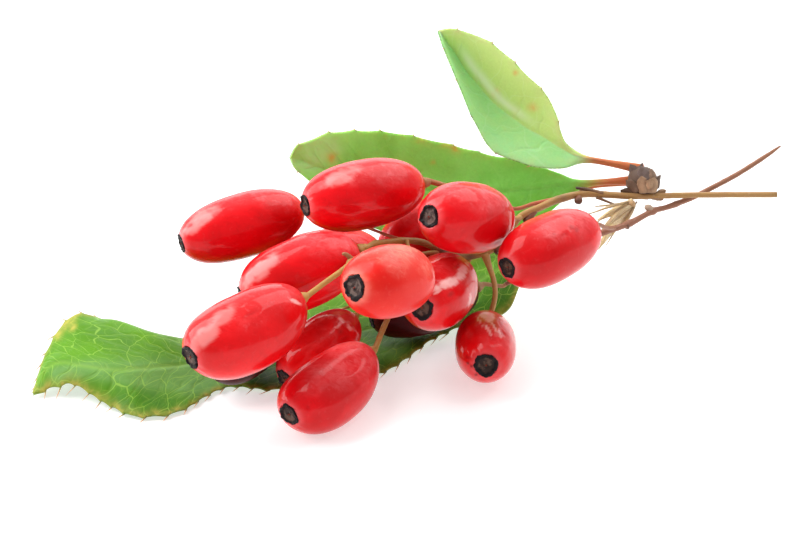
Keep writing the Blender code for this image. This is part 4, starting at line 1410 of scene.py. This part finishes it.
FRONT_LEAF = Leaf(
    "leaf_front", "leaf_fresh",
    (
        ((-32.0, -10.7, -0.5), (-30.5, -10.4, -0.6), (-29.5, -10.1, -0.9), (-28.3, -9.95, -1.0),
         (-25.0, -11.7, -2.7), (-22.5, -12.5, -4.4), (-19.1, -12.2, -3.9), (-15.3, -10.3, 0.4),
         (-10.9, -10.5, 0.0), (-6.2, -9.8, 1.6), (-1.8, -9.2, 3.0), (0.6, -8.0, 5.6),
         (3.1, -6.3, 8.8), (6.5, -5.0, 10.3), (9.8, -3.8, 11.2), (11.1, -1.6, 12.4),
         (12.3, 1.7, 15.0), (13.4, 5.0, 15.2), (15.4, 6.8, 14.4), (17.9, 7.8, 13.2), (22.2, 8.1, 11.8)),
        ((-32.0, -10.7, -0.5), (-31.2, -8.8, 0.7), (-29.9, -8.0, 0.7), (-27.8, -8.2, -0.3),
         (-24.9, -8.5, -1.2), (-22.7, -8.5, -0.6), (-19.3, -8.3, 2.2), (-15.7, -7.9, 5.5),
         (-11.4, -7.1, 7.6), (-6.5, -6.1, 9.9), (-1.9, -5.2, 11.9), (0.7, -4.3, 13.6),
         (3.8, -3.0, 15.3), (6.7, -1.4, 15.2), (9.5, 0.4, 14.8), (10.7, 1.6, 15.4),
         (11.9, 4.0, 16.0), (13.7, 6.0, 15.4), (15.6, 7.3, 14.4), (18.0, 8.15, 13.2), (22.2, 8.4, 11.75)),
        ((-32.0, -10.7, -0.5), (-31.5, -8.4, 1.8), (-30.7, -7.2, 2.7), (-29.3, -6.4, 2.9),
         (-28.2, -5.4, 3.8), (-26.0, -4.6, 6.1), (-21.6, -5.8, 5.0), (-17.4, -6.4, 9.0),
         (-12.8, -5.0, 10.8), (-7.0, -4.1, 13.2), (-2.4, -3.2, 15.0), (0.6, -2.3, 16.1),
         (3.9, -1.2, 16.8), (7.0, 0.2, 16.4), (9.5, 1.7, 16.1), (10.6, 2.7, 16.4),
         (12.0, 4.7, 16.3), (13.9, 6.5, 15.4), (15.7, 7.6, 14.4), (18.05, 8.3, 13.2), (22.2, 8.55, 11.7)),
        ((-32.0, -10.7, -0.5), (-31.8, -8.0, 2.9), (-31.4, -6.4, 4.6), (-30.8, -4.9, 6.0),
         (-29.1, -3.7, 7.0), (-26.0, -4.9, 8.9), (-21.6, -6.2, 9.6), (-17.4, -6.5, 10.9),
         (-13.0, -4.9, 12.3), (-7.6, -2.3, 16.2), (-2.9, -1.4, 17.9), (0.5, -0.5, 18.3),
         (3.9, 0.5, 18.0), (7.2, 1.6, 17.2), (9.4, 2.8, 17.0), (10.4, 3.8, 17.0),
         (12.0, 5.4, 16.4), (14.0, 6.9, 15.4), (15.8, 7.8, 14.4), (18.1, 8.5, 13.2), (22.2, 8.7, 11.7)),
    ),
    rib=1 / 3, margin=Margin(1.7, 0.28, 1.05, 1.1, 0.68),
    finish=LeafFinish("leaf_skin_fresh", (0.026, 0.12, 0.006), (0.105, 0.29, 0.008), vein=(0.3, 0.5, 0.07),
                      under=(0.27, 0.42, 0.19), edge=(0.36, 0.3, 0.06), spot=(0.4, 0.36, 0.06),
                      sheen=(0.125, 0.28, 0.06), coarse=1.6, fine=0.75, vein_share=0.5, fine_share=0.32,
                      relief=0.12, glow=0.12),
    stalk_from=0.86, fold=0.25, along=400, across=108, light=(0.05, 0.55), step=0.4, edge=(0.9, 1.0),
    sheen_spots=((-0.54, -7.16, 0.9), (0.45, -6.35, 0.8), (1.8, -5.85, 0.5), (3.08, -5.34, 0.5),
            (4.39, -4.94, 0.5), (5.24, -4.51, 0.45),
            *spots_between((-30.0, -8.91, 0.62), (-26.83, -8.49, 0.74), 5),
            *spots_between((-26.03, -8.58, 0.77), (-16.5, -9.69, 1.13), 13)),
    blots=((-29.68, -4.16, 0.5), (-30.06, -4.86, 0.45), (-30.6, -5.76, 0.4), (-29.32, -5.07, 0.35)),
    rib_share=0.5, seed=4)

BACK_LEAF = Leaf(
    "leaf_back", "leaf_deep",
    (
        ((-10.4, 10.8, 13.6), (-9.9, 9.7, 13.8), (-8.2, 8.1, 14.0), (-6.1, 6.5, 14.2),
         (-3.3, 4.6, 14.4), (0.0, 2.9, 14.6), (3.8, 2.2, 14.8), (7.6, 2.6, 14.6),
         (11.0, 3.7, 14.0), (13.9, 5.5, 13.2), (16.3, 7.4, 12.4), (18.8, 8.1, 11.9), (22.6, 8.0, 10.6)),
        ((-10.4, 10.8, 13.6), (-9.5, 10.6, 14.0), (-7.4, 9.8, 14.3), (-5.2, 9.1, 14.5),
         (-2.4, 8.5, 14.7), (0.5, 8.1, 14.8), (3.8, 7.7, 14.8), (7.6, 7.6, 14.4),
         (10.8, 7.6, 13.6), (13.9, 7.9, 13.0), (16.4, 8.2, 12.4), (18.9, 8.4, 11.9), (22.6, 8.6, 10.6)),
        ((-10.4, 10.8, 13.6), (-9.7, 12.0, 13.4), (-8.0, 12.8, 13.2), (-6.2, 13.3, 13.0),
         (-3.1, 13.4, 12.8), (0.0, 13.1, 12.8), (3.8, 12.3, 12.9), (8.1, 11.2, 12.9),
         (12.2, 10.2, 12.9), (14.9, 9.3, 12.7), (16.5, 8.7, 12.3), (19.0, 8.7, 11.8), (22.6, 9.1, 10.6)),
    ),
    rib=0.5, margin=Margin(3.2, 0.16, 0.3, 1.6, 0.7),
    finish=LeafFinish("leaf_skin_deep", (0.13, 0.47, 0.025), (0.34, 0.78, 0.2), vein=(0.36, 0.75, 0.2),
                      under=(0.07, 0.2, 0.04), edge=(0.5, 0.46, 0.1), spot=(0.6, 0.45, 0.1),
                      sheen=(0.45, 0.75, 0.3), relief=0.4, vein_share=0.2, glow=0.3),
    stalk_from=0.84, light=(0.2, 0.6), edge=(0.0, 0.3), rib_share=0.3, seed=7,
    blots=((5.2, 11.7, 0.5), (4.2, 12.1, 0.4), (2.0, 12.6, 0.5), (3.1, 10.4, 0.22), (-6.4, 10.8, 0.5)),
    sheen_spots=((-9.68, 10.53, 1.5), (-8.27, 11.28, 1.6), (-6.58, 11.84, 1.3)))

UPRIGHT_LEAF = Leaf(
    "leaf_upright", "leaf_light",
    (
        ((3.6, 22.4, 10.8), (3.9, 21.2, 10.4), (4.4, 19.7, 10.2), (5.2, 17.8, 10.0),
         (6.0, 15.7, 10.0), (6.9, 13.7, 10.1), (8.0, 11.7, 10.2), (9.8, 10.4, 10.3),
         (12.6, 9.7, 10.5), (15.1, 9.6, 10.7), (16.9, 10.1, 10.8), (18.6, 10.0, 10.7), (22.6, 9.0, 10.5)),
        ((3.6, 22.4, 10.8), (4.3, 21.5, 11.6), (5.2, 20.4, 12.4), (6.2, 18.9, 12.9),
         (7.4, 17.5, 13.1), (8.7, 16.0, 13.1), (10.3, 14.7, 12.8), (12.0, 13.4, 12.2),
         (13.7, 12.4, 11.6), (15.0, 11.5, 11.2), (16.8, 10.6, 11.0), (18.5, 10.3, 10.8), (22.6, 9.5, 10.5)),
        ((3.6, 22.4, 10.8), (4.8, 22.6, 10.6), (6.7, 22.2, 10.2), (8.9, 21.0, 9.8),
         (11.0, 19.1, 9.6), (12.7, 17.4, 9.6), (13.9, 16.1, 9.8), (14.6, 14.5, 10.1),
         (14.9, 13.1, 10.4), (15.5, 11.9, 10.7), (16.9, 11.0, 10.9), (18.4, 10.6, 10.8), (22.6, 10.0, 10.5)),
    ),
    rib=0.5, margin=Margin(3.4, 0.18, 0.25, 1.8, 0.7),
    finish=LeafFinish("leaf_skin_light", (0.38, 0.74, 0.32), (0.56, 0.74, 0.27), vein=(0.75, 0.9, 0.6),
                      under=(0.1, 0.25, 0.07), edge=(0.6, 0.62, 0.3), spot=(0.7, 0.38, 0.12),
                      relief=0.2, vein_share=0.12, fine_share=0.1, glow=0.35),
    stalk_from=0.82, fold=0.6, light=(-0.2, 1.0), step=0.03, edge=(0.1, 0.5), sheen_band=0.95,
    rib_share=1.0, seed=11, blots=((8.9, 16.9, 0.4), (12.4, 15.4, 0.4), (10.8, 18.5, 0.22)))


@dataclass(frozen=True)
class BudScale:
    """One pointed scale of the spur: its root and its tip as seen, its half width and its looks."""

    root: Point
    tip: Point
    half: float
    face: Point
    tone: float
    grey: float = 0.0

    CELLS = (10, 8)
    THICKNESS = 0.12
    CURL = 0.25
    ROUGH, ROUGH_WAVES = 0.09, 2.5

    def add_to(self, bm: BMesh, layers: Layers, number: int) -> None:
        """Adds the scale, cupped, with a thin closed edge.

        Args:
            bm: the spur's bmesh.
            layers: its number layers.
            number: the scale's place in the order, which sets its unevenness.
        """
        root = SIGHT.place(*self.root)
        way = SIGHT.place(*self.tip) - root
        side = way.cross(SIGHT.step(*self.face)).normalized()
        out = side.cross(way).normalized()

        def shape(vert: Vert, u: float, v: float) -> None:
            """Places and colours one point.

            Args:
                vert: the point.
                u: how far along it is, from 0 to 1.
                v: how far across it is, from -1 to 1.
            """
            width = self.half * (0.8 + 0.35 * u) * math.sqrt(max(0.0, 1 - u ** 4) * 0.94 + 0.06)
            lift = self.CURL * (1 - v * v) * (1 - 0.4 * u) + 0.07 * u ** 2
            at = Vector((u * self.ROUGH_WAVES, v * self.ROUGH_WAVES, number * 1.7))
            torn = self.ROUGH * noise.noise(at)
            vert.co = root + way * u * (1 - 0.12 * v * v) + (side * v * width + out * (lift + torn)) * MM
            paint(vert, layers, tone=self.tone, grey=self.grey, along=u * 0.6 + number, across=v * 1.6)

        add_sheet(bm, self.CELLS, self.THICKNESS, shape)


@dataclass
class Spur:
    """The short woody spur: a knob in overlapping bud scales, which the leaves grow from."""

    core: Tube = Tube(((23.4, 7.2, 10.2, 0.7), (22.9, 7.7, 10.3, 1.2), (22.5, 8.4, 10.35, 1.35),
                       (22.1, 9.2, 10.45, 1.05), (21.9, 9.7, 10.5, 0.5)), Bark(tone=(0.1, 0.1)))
    scales: tuple[BudScale, ...] = tuple(BudScale(*row) for row in (
        ((22.5, 7.4, 9.3), (22.2, 8.9, 8.95), 0.55, (-0.2, 0.0, -1), 0.8),
        ((23.2, 7.4, 9.3), (23.3, 8.8, 9.0), 0.6, (0.35, 0.0, -1), 0.95, 0.1),
        ((21.9, 7.5, 9.6), (20.9, 8.6, 9.4), 0.5, (-0.7, -0.2, -0.8), 0.3, 0.1),
        ((21.7, 7.2, 9.9), (20.4, 7.7, 9.9), 0.4, (-0.5, -0.5, -0.8), 0.15),
        ((22.6, 8.4, 9.1), (22.2, 9.7, 9.4), 0.6, (-0.2, 0.35, -1), 0.15, 0.55),
        ((23.2, 8.2, 9.2), (23.1, 9.5, 9.4), 0.55, (0.3, 0.4, -0.9), 0.7, 0.3),
        ((23.7, 7.9, 9.8), (23.9, 9.0, 9.9), 0.5, (0.9, 0.1, -0.5), 0.2, 0.1),
        ((23.8, 7.2, 9.9), (24.5, 7.7, 9.8), 0.4, (0.6, -0.3, -0.6), 0.95),
        ((23.3, 7.0, 9.6), (24.3, 6.9, 9.7), 0.34, (0.4, -0.6, -0.6), 0.75),
        ((22.4, 8.3, 11.5), (22.2, 9.6, 11.5), 0.6, (-0.2, 0.3, 1), 0.2, 0.3),
        ((23.1, 7.8, 11.5), (23.3, 9.2, 11.6), 0.62, (0.3, 0.1, 1), 0.4, 0.2),
        ((22.4, 7.5, 11.4), (21.7, 8.8, 11.6), 0.55, (-0.4, 0.0, 1), 0.5),
        ((23.2, 7.2, 11.2), (23.7, 8.3, 11.5), 0.5, (0.4, -0.2, 1), 0.3),
        ((21.9, 8.7, 9.9), (21.4, 10.0, 10.2), 0.5, (-0.6, 0.6, -0.3), 0.1, 0.3),
        ((22.5, 9.1, 10.2), (22.3, 10.1, 10.5), 0.5, (0.4, 0.8, -0.1), 0.1, 0.4),
        ((23.0, 7.8, 8.95), (22.9, 8.6, 8.8), 0.36, (0.1, 0.1, -1), 1.0),
    ))
    seed: float = 3.0

    def build(self) -> None:
        """Models and dresses the spur."""
        bm = bmesh.new()
        layers = new_layers(bm, *Bark.KEYS, "grey", "along", "across")
        self.core.add_to(bm, self.seed)
        for number, scale in enumerate(self.scales):
            scale.add_to(bm, layers, number)
        finish = ScaleFinish("scale_bark", (0.55, 0.34, 0.2), (0.055, 0.024, 0.015), (0.17, 0.13, 0.13))
        add_piece("spur_scales", bm, finish.material(), "spur")


@dataclass(frozen=True)
class BractStrip:
    """One dry bract: its route, its half width, how far it rolls and how its end splits."""

    route: tuple[Point, ...]
    half: float
    roll: float
    tone: float
    frays: int = 0

    CELLS = (36, 10)
    THICKNESS = 0.06
    REACH = 0.04
    SPLIT = 0.1125
    WAVE = 0.12
    BROADSIDE = Vector((0.2, 1, 0.1))

    def add_to(self, bm: BMesh, layers: Layers, number: int) -> None:
        """Adds the strip, rolled, with a thin closed edge.

        Args:
            bm: the bracts' bmesh.
            layers: its number layers.
            number: the strip's place in the order, which sets its unevenness.
        """
        knots = np.array([tuple(SIGHT.place(*point)) for point in self.route])

        def shape(vert: Vert, u: float, v: float) -> None:
            """Places and colours one point.

            Args:
                vert: the point.
                u: how far along it is, from 0 to 1.
                v: how far across it is, from -1 to 1.
            """
            here, before, after = (Vector(row) for row in smooth_curve(
                knots, np.array([u, max(0.0, u - self.REACH), min(1.0, u + self.REACH)])))
            ahead = (after - before).normalized()
            side = ahead.cross(self.BROADSIDE).normalized()
            out = side.cross(ahead).normalized()
            half = self.half * (0.4 + 0.6 * math.sin(math.pi * min(1, 0.2 + 0.75 * u))) * (1 - 0.75 * u ** 5)
            split = self.SPLIT * ease(0.7, 1, u) * abs(math.sin(math.pi * self.frays * (v + 1) / 2))
            roll = self.roll * v * v + self.WAVE * noise.noise(Vector((u * 4, v * 2, number * 3.1)))
            vert.co = here + (side * v * half + out * roll - ahead * split) * MM
            paint(vert, layers, tone=self.tone, along=u * 0.8 + number, across=v * 1.2)

        add_sheet(bm, self.CELLS, self.THICKNESS, shape)


@dataclass
class Bracts:
    """The dry straw-coloured bracts that hang from their root below the spur."""

    root: Knot = (21.3, 6.3, 8.95, 0.34)
    ball_tone: float = 0.3
    strips: tuple[BractStrip, ...] = tuple(BractStrip(*row) for row in (
        (((21.5, 6.5, 8.9), (19.9, 5.6, 8.7), (18.2, 4.7, 8.8)), 0.36, 0.3, 0.9, 3),
        (((21.5, 6.3, 9.0), (20.5, 5.0, 9.3), (19.3, 3.6, 9.5), (18.3, 2.1, 9.2)), 0.42, 0.3, 0.75, 4),
        (((21.4, 6.45, 8.9), (19.6, 6.05, 8.3), (17.2, 5.3, 8.1)), 0.1, 0.1, 0.4),
        (((21.4, 6.2, 8.8), (19.8, 5.1, 8.4), (18.6, 3.9, 8.5)), 0.26, 0.3, 1.0, 2),
        (((21.6, 6.1, 9.1), (21.0, 4.9, 9.3), (20.3, 3.9, 9.5)), 0.17, 0.2, 0.6, 2),
        (((21.4, 6.1, 8.9), (19.6, 4.6, 8.9), (17.9, 3.3, 8.7)), 0.12, 0.15, 0.8, 1),
        (((21.4, 6.2, 8.9), (19.4, 5.5, 8.5), (17.6, 4.2, 8.5)), 0.09, 0.1, 1.0, 1),
        (((21.5, 6.0, 9.1), (20.2, 4.3, 9.5), (19.0, 2.4, 9.7)), 0.1, 0.12, 0.9, 1),
        (((21.3, 6.5, 8.8), (19.5, 6.2, 8.5), (17.9, 6.0, 8.6)), 0.07, 0.08, 0.7, 1),
    ))

    def build(self) -> None:
        """Models and dresses the bracts."""
        bm = bmesh.new()
        layers = new_layers(bm, "tone", "grey", "along", "across")
        made = bmesh.ops.create_icosphere(bm, subdivisions=3, radius=self.root[3] * MM,
                                          matrix=Matrix.Translation(SIGHT.place(*self.root[:3])))["verts"]
        for vert in made:
            vert.co += vert.normal * 0.04 * MM * noise.noise(vert.co * 4000)
            paint(vert, layers, tone=self.ball_tone)
        for number, strip in enumerate(self.strips):
            strip.add_to(bm, layers, number)
        finish = ScaleFinish("bract_straw", (0.82, 0.62, 0.34), (0.42, 0.22, 0.1), (0.6, 0.55, 0.45), 0.3)
        add_piece("bracts_strips", bm, finish.material(), "bracts")


@dataclass(frozen=True)
class Softbox:
    """A square studio light: where it stands, in decimetres, its size and its power."""

    name: str
    place: Point
    size: Pair
    power: float

    AIM = Vector((0, 0, 0.008))

    def build(self) -> None:
        """Hangs the light so that it shines at the sprig."""
        data = bpy.data.lights.new(self.name, "AREA")
        data.shape = "RECTANGLE"
        data.size, data.size_y = self.size
        data.energy = self.power
        here = Vector(self.place) / 10
        add_object(self.name, data).matrix_world = stand(here - self.AIM, here)


@dataclass
class Studio:
    """The pale table, the lights and the camera."""

    distance: float = 175.0
    lens: float = 90.0
    table_reach: float = 2.5
    near_room: Colour = (0.46, 0.46, 0.46)
    far_room: Colour = (0.85, 0.85, 0.85)
    lights: tuple[Softbox, ...] = (
        Softbox("top_softbox", (2.2, 2.0, 4.0), (0.42, 0.34), 1.5),
        Softbox("left_softbox", (-3.5, 0.7, 3.3), (0.36, 0.62), 3.8),
        Softbox("back_softbox", (0.0, 5.0, 1.8), (0.7, 0.2), 0.7),
    )

    def build(self) -> None:
        """Sets the stage, the lights and the camera."""
        self._table()
        self._world()
        for light in self.lights:
            light.build()
        self._camera()
        bpy.context.scene.view_settings.view_transform = "Standard"
        bpy.context.scene.view_settings.look = "None"

    def _table(self) -> None:
        """Lays the plain pale table."""
        bm = bmesh.new()
        bmesh.ops.create_grid(bm, x_segments=1, y_segments=1, size=self.table_reach)
        table = add_mesh("table", bm, TableFinish("table_white").material())

    def _world(self) -> None:
        """Surrounds the stage with white, dimmer on the viewer's side."""
        world = bpy.data.worlds.new("white_room")
        world.use_nodes = True
        tree = Tree(world.node_tree)
        back = tree.node("SeparateXYZ", {0: tree.node("TexCoord")["Generated"]})["Y"]
        room = tree.mix(tree.range(back, -0.55, 0.3), self.near_room, self.far_room)
        tree.fill(world.node_tree.nodes["Background"], {"Color": room, "Strength": 1.0})
        bpy.context.scene.world = world

    def _camera(self) -> None:
        """Places the camera at the photograph's angle."""
        data = bpy.data.cameras.new("camera")
        data.lens = self.lens
        data.clip_start = 0.01
        camera = add_object("camera", data)
        ahead = SIGHT.step(0, 0, 1).normalized()
        turned = ahead.to_track_quat("-Z", "Y").to_matrix().to_4x4()
        camera.matrix_world = Matrix.Translation(SIGHT.place(0, 0, 0) - ahead * self.distance * MM) @ turned
        bpy.context.scene.camera = camera


def main() -> None:
    """Builds every sub-assembly in order, then the stage."""
    logging.basicConfig(level=logging.INFO, format="%(name)s: %(message)s")
    Effects().build()
    for part in (CLUSTER, UPPER_STEM, LOWER_STEM, FRONT_LEAF, BACK_LEAF, UPRIGHT_LEAF, Spur(), Bracts()):
        part.build()
    Studio().build()


if __name__ == "__main__":
    main()
